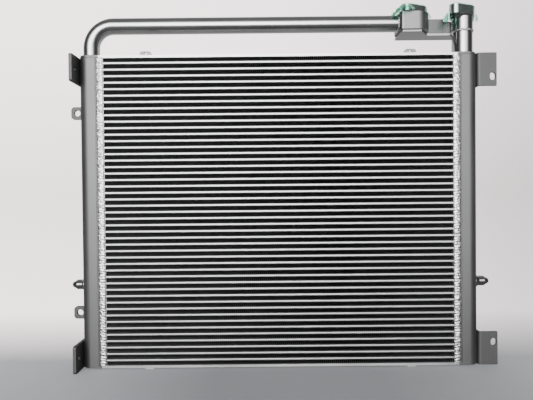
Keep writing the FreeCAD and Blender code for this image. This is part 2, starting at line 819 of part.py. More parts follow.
def bypass_spring():
    """A coil between the poppet and the plug."""
    helix = doc.addObject("Part::Helix", "spring_line")
    rise = "plug_low - spring_low - 2 * spring_wire - 2 * seat_gap"
    bind(helix, "Radius", "spring_radius")
    bind(helix, "Height", rise)
    bind(helix, "Pitch", f"({rise}) / spring_turns")
    ring = doc.addObject("Part::Circle", "spring_wire_section")
    bind(ring, "Radius", "spring_wire")
    ring.Placement = FreeCAD.Placement(FreeCAD.Vector(), FreeCAD.Rotation(FreeCAD.Vector(1, 0, 0), 90))
    bind(ring, "Placement.Base.x", "spring_radius")
    sweep = doc.addObject("Part::Sweep", "spring_sweep")
    sweep.Sections = [ring]
    sweep.Spine = (helix, ["Edge1"])
    sweep.Solid = True
    sweep.Frenet = True
    place(sweep, "valve_x", "valve_y", "spring_low + spring_wire + seat_gap")
    return sweep


# Protective film


def port_film(name, x, low):
    """A cup of film over a port's flange, clear of it all round."""
    body = new_body(f"{name}_port_film")
    gap, skin = "film_gap", "film_gap + film_thick"
    outside = new_sketch(body, f"{name}_film_outside", offset=low)
    oval(outside, x, f"flange_radius + {skin}", f"flange_ear + {skin}")
    pad(body, outside, f"film_top - {low}")
    doc.recompute()
    inside = new_sketch(body, f"{name}_film_inside", offset=low)
    oval(inside, x, f"flange_radius + {gap}", f"flange_ear + {gap}")
    pocket(body, inside, f"film_top - film_roof - {low}", along_normal=True)
    return body


# Mountings


def flat_bracket(level, z_low):
    label = f"bracket_left_{level}"
    body = new_body(label)
    sketch = new_sketch(body, f"{label}_face", "YZ_Plane", "-(tank_outer + flat_thick)")
    top = f"{z_low} + flat_height"
    corners = [("-flat_front", z_low, "flat_round"), ("flat_rear", z_low)]
    corners += [("flat_rear", top), ("-flat_front", top, "flat_round")]
    outline(sketch, "face", corners)
    circle(sketch, "hole", "-flat_hole_front", f"{z_low} + flat_height / 2", "flat_hole")
    pad(body, sketch, "flat_thick")
    return body


def angle_bracket(level, z_low, slot_level):
    """An angle whose web is welded to the tank and whose flange has an upright slot."""
    label = f"bracket_right_{level}"
    body = new_body(f"{label}_blank")
    sketch = new_sketch(body, f"{label}_plan", offset=z_low)
    front, behind = "-angle_front", "-(angle_front - angle_thick)"
    web = "tank_outer + angle_thick"
    corners = [("tank_outer", front, "angle_round"), ("angle_right", front)]
    corners += [("angle_right", behind), (web, behind), (web, "angle_rear")]
    corners += [("tank_outer", "angle_rear")]
    outline(sketch, "plan", corners)
    pad(body, sketch, "angle_height")
    ends = []
    for name, step in (("low", "-"), ("high", "+")):
        at = ("slot_x", front, f"{slot_level} {step} slot_half_run")
        end = cylinder(f"{label}_slot_{name}", "slot_radius", "angle_thick", at, ALONG_Y)
        ends.append(end)
    low = ("slot_x - slot_radius", front, f"{slot_level} - slot_half_run")
    high = ("slot_x + slot_radius", behind, f"{slot_level} + slot_half_run")
    return cut(label, body, [*ends, box(f"{label}_slot_run", low, high)])


def ear(level, centre):
    label = f"ear_{level}"
    body = new_body(label)
    sketch = new_sketch(body, f"{label}_face", "XZ_Plane", "-ear_half_thick")
    low, high = f"{centre} - ear_half", f"{centre} + ear_half"
    corners = [("-tank_outer", low), ("-ear_outer", low, "ear_round")]
    corners += [("-ear_outer", high, "ear_round"), ("-tank_outer", high)]
    outline(sketch, "face", corners)
    circle(sketch, "hole", "-ear_hole_x", centre, "ear_hole")
    pad(body, sketch, "2 * ear_half_thick")
    return body


def locating_pin(side, x, turn):
    """A pin with a tapered nose on a sloping base; the right one stands out further."""
    base, length = f"{side}_pin_base", f"{side}_pin_length"
    corners = [("0", "0"), ("pin_base_radius", "0"), ("pin_base_radius", "pin_rim")]
    corners += [("pin_radius", base), ("pin_radius", f"{length} - pin_taper")]
    corners += [("pin_tip_radius", length), ("0", length)]
    body = turned(f"locating_pin_{side}", corners, x, "0", "pin_level", turn)
    sketch = next(item for item in body.Group if item.TypeId == "Sketcher::SketchObject")
    hold(sketch, "DistanceY", 1, 2, "rim", "pin_rim")
    hold(sketch, "DistanceY", 3, 1, "base", base)
    hold(sketch, "DistanceY", 3, 2, "shoulder", f"{length} - pin_taper")
    hold(sketch, "DistanceX", 5, 1, "tip", "pin_tip_radius")
    return body


def quarter_bead(label, x, y, z_low, height, degrees):
    """An upright quarter-round weld bead in the corner at x, y, opening at the angle given."""
    turn = FreeCAD.Rotation(FreeCAD.Vector(0, 0, 1), degrees)
    return cylinder(label, "bead_radius", height, (x, y, z_low), turn, angle=90)


def bracket_welds():
    beads = []
    for level, z_low in (("upper", "flat_upper_low"), ("lower", "flat_lower_low")):
        at = ("-tank_outer", "flat_rear", z_low, "flat_height")
        beads.append(quarter_bead(f"flat_bead_{level}", *at, 90))
    for level, z_low in (("upper", "angle_upper_low"), ("lower", "angle_lower_low")):
        at = ("tank_outer", "angle_rear", z_low, "angle_height")
        beads.append(quarter_bead(f"angle_bead_{level}", *at, 0))
    for level, centre in (("upper", "ear_upper"), ("lower", "ear_lower")):
        height = (f"{centre} - ear_half", "2 * ear_half")
        rear = ("-tank_outer", "ear_half_thick", *height)
        front = ("-tank_outer", "-ear_half_thick", *height)
        beads.append(quarter_bead(f"ear_bead_rear_{level}", *rear, 90))
        beads.append(quarter_bead(f"ear_bead_front_{level}", *front, 180))
    return group("bracket_welds", beads)


def make_nodes():
    """Every sub-part under its node's name."""
    left_hole = ("-pipe_place", "pipe_radius + seat_gap")
    right_hole = ("riser_place", "riser_bore")
    return {
        "air_fins": air_fins(),
        "oil_turbulators": oil_turbulators(),
        "parting_sheets": parting_sheets(),
        "oil_bars_front": oil_bars("front", "-depth_half", "-(depth_half - bar_width)"),
        "oil_bars_rear": oil_bars("rear", "depth_half - bar_width", "depth_half"),
        "air_bars_left": air_bars("left", "-core_half", "-fin_half"),
        "air_bars_right": air_bars("right", "fin_half", "core_half"),
        "side_plate_top": side_plate("top", "core_top"),
        "side_plate_bottom": side_plate("bottom", "foot_height"),
        "top_lugs": top_lugs(),
        "foot_pads": foot_pads(),
        "tank_left": tank("left", -1),
        "tank_right": tank("right", 1),
        "tank_cap_left_top": tank_cap("left", -1, "top", "shell_high", *left_hole),
        "tank_cap_left_bottom": tank_cap("left", -1, "bottom", "tank_low"),
        "tank_cap_right_top": tank_cap("right", 1, "top", "shell_high", *right_hole),
        "tank_cap_right_bottom": tank_cap("right", 1, "bottom", "tank_low"),
        "weld_seams_left": weld_seams("left", -1),
        "weld_seams_right": weld_seams("right", 1),
        "return_pipe": return_pipe(),
        "pipe_welds": pipe_welds(),
        "port_block": port_block(),
        "block_port_head": block_port_head(),
        "riser_tube": riser_tube(),
        "riser_base_weld": riser_base_weld(),
        "riser_weld": riser_weld(),
        "riser_port_head": riser_port_head(),
        "tie_plate": tie_plate(),
        "bypass_body": bypass_body(),
        "bypass_poppet": bypass_poppet(),
        "bypass_spring": bypass_spring(),
        "bypass_plug": bypass_plug(),
        "bypass_seal": bypass_seal(),
        "block_port_film": port_film("block", "block_port", "block_film_low"),
        "riser_port_film": port_film("riser", "riser_place", "riser_film_low"),
        "bracket_left_top": flat_bracket("top", "flat_upper_low"),
        "bracket_left_bottom": flat_bracket("bottom", "flat_lower_low"),
        "bracket_right_top": angle_bracket("top", "angle_upper_low", "slot_upper"),
        "bracket_right_bottom": angle_bracket("bottom", "angle_lower_low", "slot_lower"),
        "ear_upper": ear("upper", "ear_upper"),
        "ear_lower": ear("lower", "ear_lower"),
        "locating_pin_left": locating_pin("left", "-tank_outer", AGAINST_X),
        "locating_pin_right": locating_pin("right", "tank_outer", ALONG_X),
        "bracket_welds": bracket_welds(),
    }


def check_and_export(nodes):
    """Stops if anything failed to build, and writes each node's STEP file."""
    for item in doc.Objects:
        if {"Invalid", "Error"} & set(item.State):
            raise RuntimeError(f"{item.Name} failed: {item.State}")
    for name, item in nodes.items():
        shape = item.Shape
        if shape.isNull() or not shape.isValid() or not shape.Solids:
            raise RuntimeError(f"{name} has no valid solid")
        print(f"{name}: {len(shape.Solids)} solids, {shape.Volume / 1000:.2f} cm3")
    os.makedirs("parts", exist_ok=True)
    for name, item in nodes.items():
        item.Label = name
        item.Shape.exportStep(f"parts/{name}.step")


fill_sheet()
NODES = make_nodes()
doc.recompute()
check_and_export(NODES)
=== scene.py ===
import math

import bmesh
import bpy
from mathutils import Euler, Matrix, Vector, noise


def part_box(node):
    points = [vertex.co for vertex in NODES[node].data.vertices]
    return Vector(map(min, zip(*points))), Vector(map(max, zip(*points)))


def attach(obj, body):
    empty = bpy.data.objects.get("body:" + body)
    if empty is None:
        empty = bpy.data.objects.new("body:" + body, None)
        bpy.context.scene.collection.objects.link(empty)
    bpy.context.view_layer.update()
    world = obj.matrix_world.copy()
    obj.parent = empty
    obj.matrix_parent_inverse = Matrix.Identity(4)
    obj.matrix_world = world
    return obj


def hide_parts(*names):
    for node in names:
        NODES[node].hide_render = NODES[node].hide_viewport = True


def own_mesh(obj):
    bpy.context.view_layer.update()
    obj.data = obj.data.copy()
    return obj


# Looks of a bar-and-plate oil cooler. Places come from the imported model; MM turns the
# few sizes that boxes can't give, such as corner radii, from millimetres to metres.
# EDGE is the usual width of a bevel, and edges above CRISP degrees count as sharp.

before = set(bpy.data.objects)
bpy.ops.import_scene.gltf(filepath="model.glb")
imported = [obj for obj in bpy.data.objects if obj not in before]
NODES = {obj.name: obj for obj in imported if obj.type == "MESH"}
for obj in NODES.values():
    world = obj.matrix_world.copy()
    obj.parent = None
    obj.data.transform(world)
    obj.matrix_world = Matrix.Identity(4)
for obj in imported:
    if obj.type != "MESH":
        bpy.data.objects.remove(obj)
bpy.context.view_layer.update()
BODY = "cooler"
MM = 0.001
EDGE = 0.4 * MM
CRISP = 38.0


def middle(node):
    """The centre of a CAD node's box."""
    low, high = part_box(node)
    return (low + high) / 2


# Materials


def node_tree(name):
    """A new material, with its node tree and its shader."""
    made = bpy.data.materials.new(name)
    made.use_nodes = True
    tree = made.node_tree
    return made, tree, tree.nodes["Principled BSDF"]


def stretched_noise(tree, scale, detail=4.0, roughness=0.6):
    """Noise over the piece's own frame, with a scale for each axis."""
    coords = tree.nodes.new("ShaderNodeTexCoord")
    mapping = tree.nodes.new("ShaderNodeMapping")
    mapping.inputs["Scale"].default_value = scale
    tree.links.new(coords.outputs["Object"], mapping.inputs["Vector"])
    texture = tree.nodes.new("ShaderNodeTexNoise")
    texture.inputs["Scale"].default_value = 1.0
    texture.inputs["Detail"].default_value = detail
    texture.inputs["Roughness"].default_value = roughness
    tree.links.new(mapping.outputs["Vector"], texture.inputs["Vector"])
    return texture.outputs["Fac"]


def ramp(tree, factor, stops):
    """A colour ramp with stops of (place, colour)."""
    node = tree.nodes.new("ShaderNodeValToRGB")
    elements = node.color_ramp.elements
    while len(elements) < len(stops):
        elements.new(0.5)
    for element, (place, colour) in zip(elements, stops):
        element.position = place
        element.color = (*colour, 1.0)
    tree.links.new(factor, node.inputs["Fac"])
    return node.outputs["Color"]


def spread(tree, factor, low, high, start=0.3, end=0.7):
    """Maps a factor between start and end to a value between low and high."""
    node = tree.nodes.new("ShaderNodeMapRange")
    node.inputs["From Min"].default_value = start
    node.inputs["From Max"].default_value = end
    node.inputs["To Min"].default_value = low
    node.inputs["To Max"].default_value = high
    tree.links.new(factor, node.inputs["Value"])
    return node.outputs["Result"]


def blend(tree, first, second, how):
    """Two colours blended at full strength."""
    node = tree.nodes.new("ShaderNodeMix")
    node.data_type = "RGBA"
    node.blend_type = how
    node.inputs["Factor"].default_value = 1.0
    tree.links.new(first, node.inputs["A"])
    tree.links.new(second, node.inputs["B"])
    return node.outputs["Result"]


def product(tree, first, second):
    """One colour multiplied by another."""
    return blend(tree, first, second, "MULTIPLY")


def added(tree, first, second):
    """One colour added to another."""
    return blend(tree, first, second, "ADD")


def total(tree, first, second):
    """The sum of two values."""
    node = tree.nodes.new("ShaderNodeMath")
    node.operation = "ADD"
    tree.links.new(first, node.inputs[0])
    tree.links.new(second, node.inputs[1])
    return node.outputs["Value"]


def grey(shade):
    """A colour without hue."""
    return (shade, shade, shade)


def emboss(tree, shader, height, strength, depth):
    """Relief on a shader, its depth in metres, from a height value."""
    bump = tree.nodes.new("ShaderNodeBump")
    bump.inputs["Strength"].default_value = strength
    bump.inputs["Distance"].default_value = depth
    tree.links.new(height, bump.inputs["Height"])
    tree.links.new(bump.outputs["Normal"], shader.inputs["Normal"])


def metal(name, shade, rough, streaks, contrast=0.05, relief=0.04, blotch=14.0):
    """Bare metal: rolled or brushed streaks, soft stains and fine relief.

    streaks is the noise scale along each axis, rough the range of roughness, contrast how
    dark the streaks are, relief their depth in millimetres and blotch the stains' scale.
    """
    made, tree, shader = node_tree(name)
    fine = stretched_noise(tree, streaks, detail=5.0)
    stain = stretched_noise(tree, (blotch,) * 3, detail=6.0, roughness=0.55)
    speck = stretched_noise(tree, (FINE,) * 3, detail=2.0)
    base = ramp(tree, stain, [(0.3, grey(shade * 0.9)), (0.7, grey(shade))])
    lines = ramp(tree, fine, [(0.3, grey(1.0 - 3 * contrast)), (0.62, grey(1.0))])
    tree.links.new(product(tree, base, lines), shader.inputs["Base Color"])
    shader.inputs["Metallic"].default_value = 1.0
    low, high = rough
    half = (high - low) / 2
    uneven = total(tree, spread(tree, stain, low, low + half), spread(tree, fine, 0.0, half))
    tree.links.new(uneven, shader.inputs["Roughness"])
    emboss(tree, shader, total(tree, fine, spread(tree, speck, 0.0, 0.5)), 0.6, relief * MM)
    return made


def film_material(name, tint, cover):
    """Thin green wrap that tints what is behind it, and hides it where the cover is thick."""
    made, tree, shader = node_tree(name)
    cloud = stretched_noise(tree, (90.0,) * 3, detail=5.0)
    # The cloud mottles the film from dark green to pale mint: partly its own tint, partly painted
    # glints on the pale patches and painted shade of folds in the dark ones.
    colour = ramp(tree, cloud, [(0.35, (0.03, 0.34, 0.20)), (0.7, (0.62, 0.93, 0.82))])
    tree.links.new(colour, shader.inputs["Base Color"])
    tree.links.new(spread(tree, cloud, 0.10, 0.28), shader.inputs["Roughness"])
    crease = stretched_noise(tree, (260.0,) * 3, detail=6.0)
    emboss(tree, shader, crease, 0.8, 0.5 * MM)
    clear = tree.nodes.new("ShaderNodeBsdfTransparent")
    clear.inputs["Color"].default_value = (*tint, 1.0)
    mix = tree.nodes.new("ShaderNodeMixShader")
    tree.links.new(spread(tree, cloud, *cover), mix.inputs["Fac"])
    tree.links.new(clear.outputs["BSDF"], mix.inputs[1])
    tree.links.new(shader.outputs["BSDF"], mix.inputs[2])
    tree.links.new(mix.outputs["Shader"], tree.nodes["Material Output"].inputs["Surface"])
    return made


def rubber_material():
    """Dull black rubber with a fine grain."""
    made, tree, shader = node_tree("seal_rubber")
    grain = stretched_noise(tree, (1200.0,) * 3)
    shades = [(0.3, grey(0.012)), (0.7, grey(0.03))]
    tree.links.new(ramp(tree, grain, shades), shader.inputs["Base Color"])
    tree.links.new(spread(tree, grain, 0.5, 0.75), shader.inputs["Roughness"])
    return made


# Noise scales per metre: FINE across streaks, LONG and SHORT along drawn and cut ones.
FINE, LONG, SHORT = 900.0, 6.0, 60.0
ALONG_X = (LONG, FINE, FINE)
ALONG_Z = (FINE, FINE, LONG)
CUT_Y = (FINE, SHORT, FINE)
CUT_Z = (FINE, FINE, SHORT)
EVEN = (420.0, 420.0, 420.0)
LOOKS = {
    "bars": metal("bars", 0.92, (0.34, 0.46), ALONG_X, contrast=0.04),
    # Sheets and fins are near black: painted shade of the deep, narrow air passages, on aluminium
    # that is bright in the open.
    "sheets": metal("sheets", 0.12, (0.40, 0.55), ALONG_X),
    "fins": metal("fins", 0.09, (0.36, 0.5), EVEN, contrast=0.10),
    "tank": metal("tank", 0.23, (0.45, 0.57), ALONG_Z, relief=0.02),
    "pipe": metal("pipe", 0.58, (0.16, 0.26), ALONG_X, contrast=0.04, relief=0.012),
    "riser": metal("riser", 0.50, (0.11, 0.20), EVEN, relief=0.015),
    "flange": metal("flange", 0.66, (0.14, 0.24), EVEN, relief=0.015),
    "weld": metal("weld", 0.82, (0.20, 0.34), EVEN, contrast=0.12, relief=0.25, blotch=220.0),
    "bracket": metal("bracket", 0.17, (0.54, 0.66), ALONG_Z, relief=0.03),
    "block": metal("block", 0.27, (0.32, 0.46), CUT_Y),
    "milled": metal("milled", 0.13, (0.32, 0.45), CUT_Z),
    "lug": metal("lug", 0.27, (0.36, 0.5), ALONG_X),
    "plate": metal("plate", 0.42, (0.32, 0.46), ALONG_X),
    "steel": metal("steel", 0.50, (0.20, 0.32), EVEN),
    "rubber": rubber_material(),
    "film": film_material("tight_wrap", (0.92, 0.98, 0.96), (0.0, 0.05)),
    "creased": film_material("creased_wrap", (0.55, 0.91, 0.77), (0.12, 0.62)),
}


# Mesh helpers


def settle(name, mesh, look, body=BODY, stands_for=()):
    """Makes the mesh a piece of the given look that rides on a body.

    stands_for names the CAD nodes that it replaces.
    """
    piece = bpy.data.objects.new(name, mesh)
    bpy.context.scene.collection.objects.link(piece)
    mesh.materials.append(LOOKS[look])
    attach(piece, body)
    if stands_for:
        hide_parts(*stands_for)
    return piece


def mesh_of(name, bm, sharp=CRISP):
    """Ends a bmesh: smooth faces, with edges above the sharp angle kept crisp."""
    bmesh.ops.recalc_face_normals(bm, faces=bm.faces)
    for face in bm.faces:
        face.smooth = True
    for edge in bm.edges:
        if len(edge.link_faces) == 2 and edge.calc_face_angle(0.0) > math.radians(sharp):
            edge.smooth = False
    mesh = bpy.data.meshes.new(name)
    bm.to_mesh(mesh)
    bm.free()
    return mesh


def bevelled(piece, width):
    """Rounds the piece's sharp edges and keeps its flats flat."""
    bevel = piece.modifiers.new("edges", "BEVEL")
    bevel.width = width
    bevel.segments = 2
    bevel.limit_method = "ANGLE"
    bevel.angle_limit = math.radians(CRISP)
    bevel.use_clamp_overlap = True
    normals = piece.modifiers.new("flats", "WEIGHTED_NORMAL")
    normals.keep_sharp = False
    return piece


def rounded(corners, steps=10):
    """The points of a closed outline whose (x, y, radius) corners are round.

    A corner without a radius stays sharp.
    """
    points = []
    count = len(corners)
    for i, corner in enumerate(corners):
        here = Vector(corner[:2])
        radius = corner[2] if len(corner) > 2 else 0.0
        if not radius:
            points.append(here)
            continue
        back = (Vector(corners[i - 1][:2]) - here).normalized()
        ahead = (Vector(corners[(i + 1) % count][:2]) - here).normalized()
        half = back.angle(ahead) / 2
        start = here + back * (radius / math.tan(half))
        centre = here + (back + ahead).normalized() * (radius / math.sin(half))
        first = start - centre
        sweep = math.pi - 2 * half
        turn = 1 if first.y * back.x - first.x * back.y > 0 else -1
        for step in range(steps + 1):
            angle = turn * sweep * step / steps
            cos, sin = math.cos(angle), math.sin(angle)
            swung = Vector((first.x * cos - first.y * sin, first.x * sin + first.y * cos))
            points.append(centre + swung)
    return points


def arc(x, y, radius, start, end, steps):
    """Points round a centre from one angle to another, with both ends."""
    turns = [start + (end - start) * i / steps for i in range(steps + 1)]
    return [Vector((x + radius * math.cos(a), y + radius * math.sin(a))) for a in turns]


def ring(x, y, radius, steps=40):
    """A round hole's points."""
    return arc(x, y, radius, 0.0, math.tau, steps)[:-1]


def in_plan(u, v, w):
    """Places an outline flat, with its normal up."""
    return (u, v, w)


def facing_front(u, v, w):
    """Places an outline upright, with its normal along Y."""
    return (u, w, v)


def facing_side(u, v, w):
    """Places an outline upright, with its normal along X."""
    return (w, u, v)


def loop(bm, points, place, level):
    """The verts of a closed line on the plane at the level, joined by edges."""
    verts = [bm.verts.new(place(p.x, p.y, level)) for p in points]
    for first, second in zip(verts, verts[1:] + verts[:1]):
        bm.edges.new((first, second))
    return verts


def wall(bm, first, second):
    """Quads between two loops of the same length."""
    count = len(first)
    for i in range(count):
        j = (i + 1) % count
        bm.faces.new((first[i], first[j], second[j], second[i]))


def fill(bm, loops):
    """A flat face inside the first loop, with the others as its holes."""
    edges = []
    for verts in loops:
        edges += [bm.edges.get(pair) for pair in zip(verts, verts[1:] + verts[:1])]
    bmesh.ops.triangle_fill(bm, use_beauty=True, use_dissolve=False, edges=edges)


def slab(name, outline, holes, place, low, high, look, stands_for=(), width=EDGE, blind=()):
    """A plate between low and high along its normal, with softened edges.

    holes go right through it. blind gives (points, floor level) of holes sunk from the top.
    """
    bm = bmesh.new()
    tops = [loop(bm, points, place, high) for points in (outline, *holes)]
    bottoms = [loop(bm, points, place, low) for points in (outline, *holes)]
    for top, bottom in zip(tops, bottoms):
        wall(bm, top, bottom)
    for points, floor_level in blind:
        mouth, end = (loop(bm, points, place, level) for level in (high, floor_level))
        wall(bm, mouth, end)
        bm.faces.new(end)
        tops.append(mouth)
    fill(bm, tops)
    fill(bm, bottoms)
    piece = settle(name, mesh_of(name, bm, sharp=180.0), look, stands_for=stands_for)
    return bevelled(piece, width)


def lathe(name, corners, origin, look, axis="Z", steps=96, stands_for=()):
    """Turns a closed section of (radius, height, round) corners about an axis."""
    on_axis = 1e-7
    turns = [math.tau * i / steps for i in range(steps)]
    bm = bmesh.new()
    rows = []
    for point in rounded(corners, steps=5):
        if point.x < on_axis:
            rows.append([bm.verts.new((0.0, 0.0, point.y))] * steps)
            continue
        spots = [(point.x * math.cos(a), point.x * math.sin(a), point.y) for a in turns]
        rows.append([bm.verts.new(spot) for spot in spots])
    for first, second in zip(rows, rows[1:] + rows[:1]):
        if first[0] is first[1] and second[0] is second[1]:
            continue
        for i in range(steps):
            quad = [first[i], first[(i + 1) % steps], second[(i + 1) % steps], second[i]]
            distinct = list(dict.fromkeys(quad))
            if len(distinct) > 2:
                bm.faces.new(distinct)
    tilt = {"Z": 0.0, "X": math.pi / 2, "-X": -math.pi / 2}[axis]
    bmesh.ops.rotate(bm, verts=bm.verts, matrix=Euler((0, tilt, 0)).to_matrix())
    bmesh.ops.translate(bm, verts=bm.verts, vec=Vector(origin))
    settle(name, mesh_of(name, bm), look, stands_for=stands_for)


def grid_faces(bm, rows, close_rows=False, close_columns=False):
    """Quads between rows of verts."""
    pairs = list(zip(rows, rows[1:]))
    if close_rows:
        pairs.append((rows[-1], rows[0]))
    for first, second in pairs:
        count = len(first) if close_columns else len(first) - 1
        for i in range(count):
            j = (i + 1) % len(first)
            bm.faces.new((first[i], first[j], second[j], second[i]))


def close_hub(bm, row, centre):
    """Closes a ring of verts with a fan of faces round its centre."""
    hub = bm.verts.new(centre)
    for i, vert in enumerate(row):
        bm.faces.new((hub, vert, row[(i + 1) % len(row)]))


def weld_bead(name, path, length, width, height, pitch, seed, closed=False, stands_for=(),
              fine=0.7):
    """A rippled weld: overlapping crescents along a path, with uneven height and edges.

    path gives, for a distance along it, the point, the direction across and the one
    outwards. pitch, the ripples' spacing, and fine, the mesh's, are in millimetres.
    """
    bm = bmesh.new()
    along = max(24, int(length / (fine * MM)))
    across = 14
    foot = -0.35 * MM
    # Noise scales per metre: of the bead's wander, of its lumps and of its grain.
    wander, lumps, grain = 160.0, 190.0, 420.0
    elsewhere = Vector((9.1, 3.3, 0.0))
    ripples = length / (pitch * MM)
    if closed:
        ripples = round(ripples)
    rows = []
    for i in range(along if closed else along + 1):
        distance = length * i / along
        point, side, out = path(distance)
        row = []
        if closed:
            turn = math.tau * i / along
            here = Vector((math.cos(turn), math.sin(turn), seed)) * 0.8
        else:
            here = Vector((distance * wander, 0.0, seed))
        sway = 0.10 * noise.noise(here * 1.7 + elsewhere)
        swell = 1.0 + 0.16 * noise.noise(here * 2.3)
        place = Vector((point.x + point.z, point.y, point.z))
        for k in range(across + 1):
            # u runs from -1 to 1 across the bead, and each ripple lags towards its ends.
            u = 2.0 * k / across - 1.0
            crown = max(0.0, 1.0 - u * u) ** 0.55
            phase = ripples * i / along + 0.55 * u * u + 2.5 * sway
            tooth = phase - math.floor(phase)
            scale = (1.0 - tooth) ** 1.6 - 0.35
            rough = noise.noise(place * grain + Vector((u * 3.0, seed, 0.0)))
            lump = noise.noise(place * lumps + Vector((u * 1.8, seed, 4.0)))
            rise = height * crown * (0.70 + 0.36 * scale + 0.20 * rough + 0.34 * lump) * swell
            shift = side * (width / 2) * (u * (1.0 + 0.05 * rough) + sway * 0.35)
            row.append(bm.verts.new(point + shift + out * rise))
        edge = width / 2
        row.insert(0, bm.verts.new(point - side * edge + out * foot))
        row.append(bm.verts.new(point + side * edge + out * foot))
        rows.append(row)
    grid_faces(bm, rows, close_rows=closed, close_columns=True)
    if not closed:
        bm.faces.new(rows[0])
        bm.faces.new(rows[-1])
    settle(name, mesh_of(name, bm, sharp=70.0), "weld", stands_for=stands_for)


def straight(start, end, side, out):
    """A straight weld's path."""
    start, end = Vector(start), Vector(end)
    direction = (end - start).normalized()
    return lambda distance: (start + direction * distance, Vector(side), Vector(out))


def around(centre, radius, axis, lean):
    """A round weld's path in the corner between a tube and the face it meets.

    lean turns it from lying on that face, at 0, to lying on the tube, at 1.
    """
    centre, axis = Vector(centre), Vector(axis)
    first = Vector((0, 1, 0)) if abs(axis.y) < 0.5 else Vector((1, 0, 0))
    second = axis.cross(first)

    def path(distance):
        turn = distance / radius
        spoke = first * math.cos(turn) + second * math.sin(turn)
        side = (axis * lean - spoke * (1 - lean)).normalized()
        out = (axis * (1 - lean) + spoke * lean).normalized()
        return centre + spoke * radius, side, out

    return path


def weld_ring(name, node, centre, radius, gap, axis, width, height, pitch, seed, lean=0.7):
    """A closed weld round a tube, its middle line the gap outside the tube's radius."""
    path = around(centre, radius + gap, axis, lean)
    weld_bead(name, path, math.tau * radius, width, height, pitch, seed, closed=True,
              stands_for=(node,), fine=0.5)


# Core

FIN_LOW, FIN_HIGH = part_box("air_fins")
FIN_ROWS = 48
FIN_HEIGHT = 8.0 * MM
ROW_PITCH = (FIN_HIGH.z - FIN_LOW.z - FIN_HEIGHT) / (FIN_ROWS - 1)
FIN_PACKS = 6
FIN_SHEET = 0.2 * MM


def fin_line():
    """One row's corrugation seen from the front: (x, z) points of flats and steep legs."""
    period = 4.0 * MM
    flat, lean, gap = 1.55 * MM, 0.45 * MM, 0.05 * MM
    count = int((FIN_HIGH.x - FIN_LOW.x) / period)
    margin = (FIN_HIGH.x - FIN_LOW.x - count * period) / 2
    low, high = FIN_LOW.z + gap + FIN_SHEET, FIN_LOW.z + FIN_HEIGHT - gap
    points = []
    for i in range(count):
        start = FIN_LOW.x + margin + i * period
        half = start + flat + lean
        points += [(start, low), (start + flat, low), (half, high), (half + flat, high)]
    return points


def stacked(piece, name, count):
    """Repeats a piece upwards at the pitch of the fin rows."""
    stack = piece.modifiers.new(name, "ARRAY")
    stack.count = count
    stack.use_relative_offset = False
    stack.use_constant_offset = True
    stack.constant_offset_displace = (0.0, 0.0, ROW_PITCH)


def air_fins():
    """Corrugated fins whose waves run zigzag through the core, so no light passes."""
    line = fin_line()
    folds = 4
    sway = 1.25 * MM
    rows_per_pack = FIN_ROWS // FIN_PACKS
    for pack in range(FIN_PACKS):
        bm = bmesh.new()
        rows = []
        lift = pack * rows_per_pack * ROW_PITCH
        for fold in range(folds + 1):
            y = FIN_LOW.y + (FIN_HIGH.y - FIN_LOW.y) * fold / folds
            shift = sway if fold % 2 else -sway
            rows.append([bm.verts.new((x + shift, y, z + lift)) for x, z in line])
        grid_faces(bm, rows)
        name = f"air_fins_{pack + 1}"
        mesh = mesh_of(name, bm, sharp=20.0)
        piece = settle(name, mesh, "fins", stands_for=("air_fins",))
        thick = piece.modifiers.new("sheet", "SOLIDIFY")
        thick.thickness = FIN_SHEET
        thick.offset = 0.0
        stacked(piece, "rows", rows_per_pack)


def dress(node, look, width=None):
    """Gives a CAD node its look, and softens its edges."""
    piece = NODES[node]
    piece.data.materials.clear()
    piece.data.materials.append(LOOKS[look])
    if width:
        bevelled(piece, width)


def oil_bars(node, outer):
    """Drawn bars, one in each gap between two fin rows, rounded along the outer face.

    outer is -1 where that face looks to the front and 1 where it looks to the rear.
    """
    low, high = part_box(node)
    count = FIN_ROWS - 1
    height = high.z - low.z - (count - 1) * ROW_PITCH
    near, far = (low.y, high.y) if outer < 0 else (high.y, low.y)
    nose, root = 0.75 * MM, 0.2 * MM
    section = rounded([
        (near, low.z, nose), (far, low.z, root),
        (far, low.z + height, root), (near, low.z + height, nose)], steps=5)
    bar = slab(f"{node}_drawn", section, [], facing_side, low.x, high.x, "bars",
               stands_for=(node,), width=0.1 * MM)
    stacked(bar, "bars", count)


def core():
    """Fins, bars, sheets and outer plates, and the pads that they stand on."""
    air_fins()
    oil_bars("oil_bars_front", -1)
    oil_bars("oil_bars_rear", 1)
    dress("parting_sheets", "sheets")
    dress("oil_turbulators", "fins")
    for node in ("air_bars_left", "air_bars_right"):
        dress(node, "bars", 0.3 * MM)
    for node in ("side_plate_top", "side_plate_bottom"):
        dress(node, "bars", 0.5 * MM)
    dress("foot_pads", "bars", 0.5 * MM)


def top_lugs():
    """Two small upright tabs with round corners, each with a bead along its foot."""
    low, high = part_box("top_lugs")
    half, corner, inset = 11.5 * MM, 5 * MM, 1 * MM
    slant = (0, -0.7, 0.7)
    for name, x in (("left", low[0] + half), ("right", high[0] - half)):
        corners = [(x - half, low[2]), (x + half, low[2])]
        corners += [(x + half, high[2], corner), (x - half, high[2], corner)]
        hole = ring(x, (low[2] + high[2]) / 2, 2.5 * MM, 24)
        slab(f"top_lug_{name}", rounded(corners), [hole], facing_front, low[1], high[1], "lug",
             ("top_lugs",))
        start, end = (x - half + inset, low[1], low[2]), (x + half - inset, low[1], low[2])
        weld_bead(f"top_lug_weld_{name}", straight(start, end, slant, slant), end[0] - start[0],
                  2.0 * MM, 0.9 * MM, pitch=2.0, seed=int(x * 1000))


# Tanks

TANK_ROUND = 20.0 * MM
TANK_WALL = 5.0 * MM
SEAM_OUTER = 357.0 * MM
GROOVE = 1.2 * MM


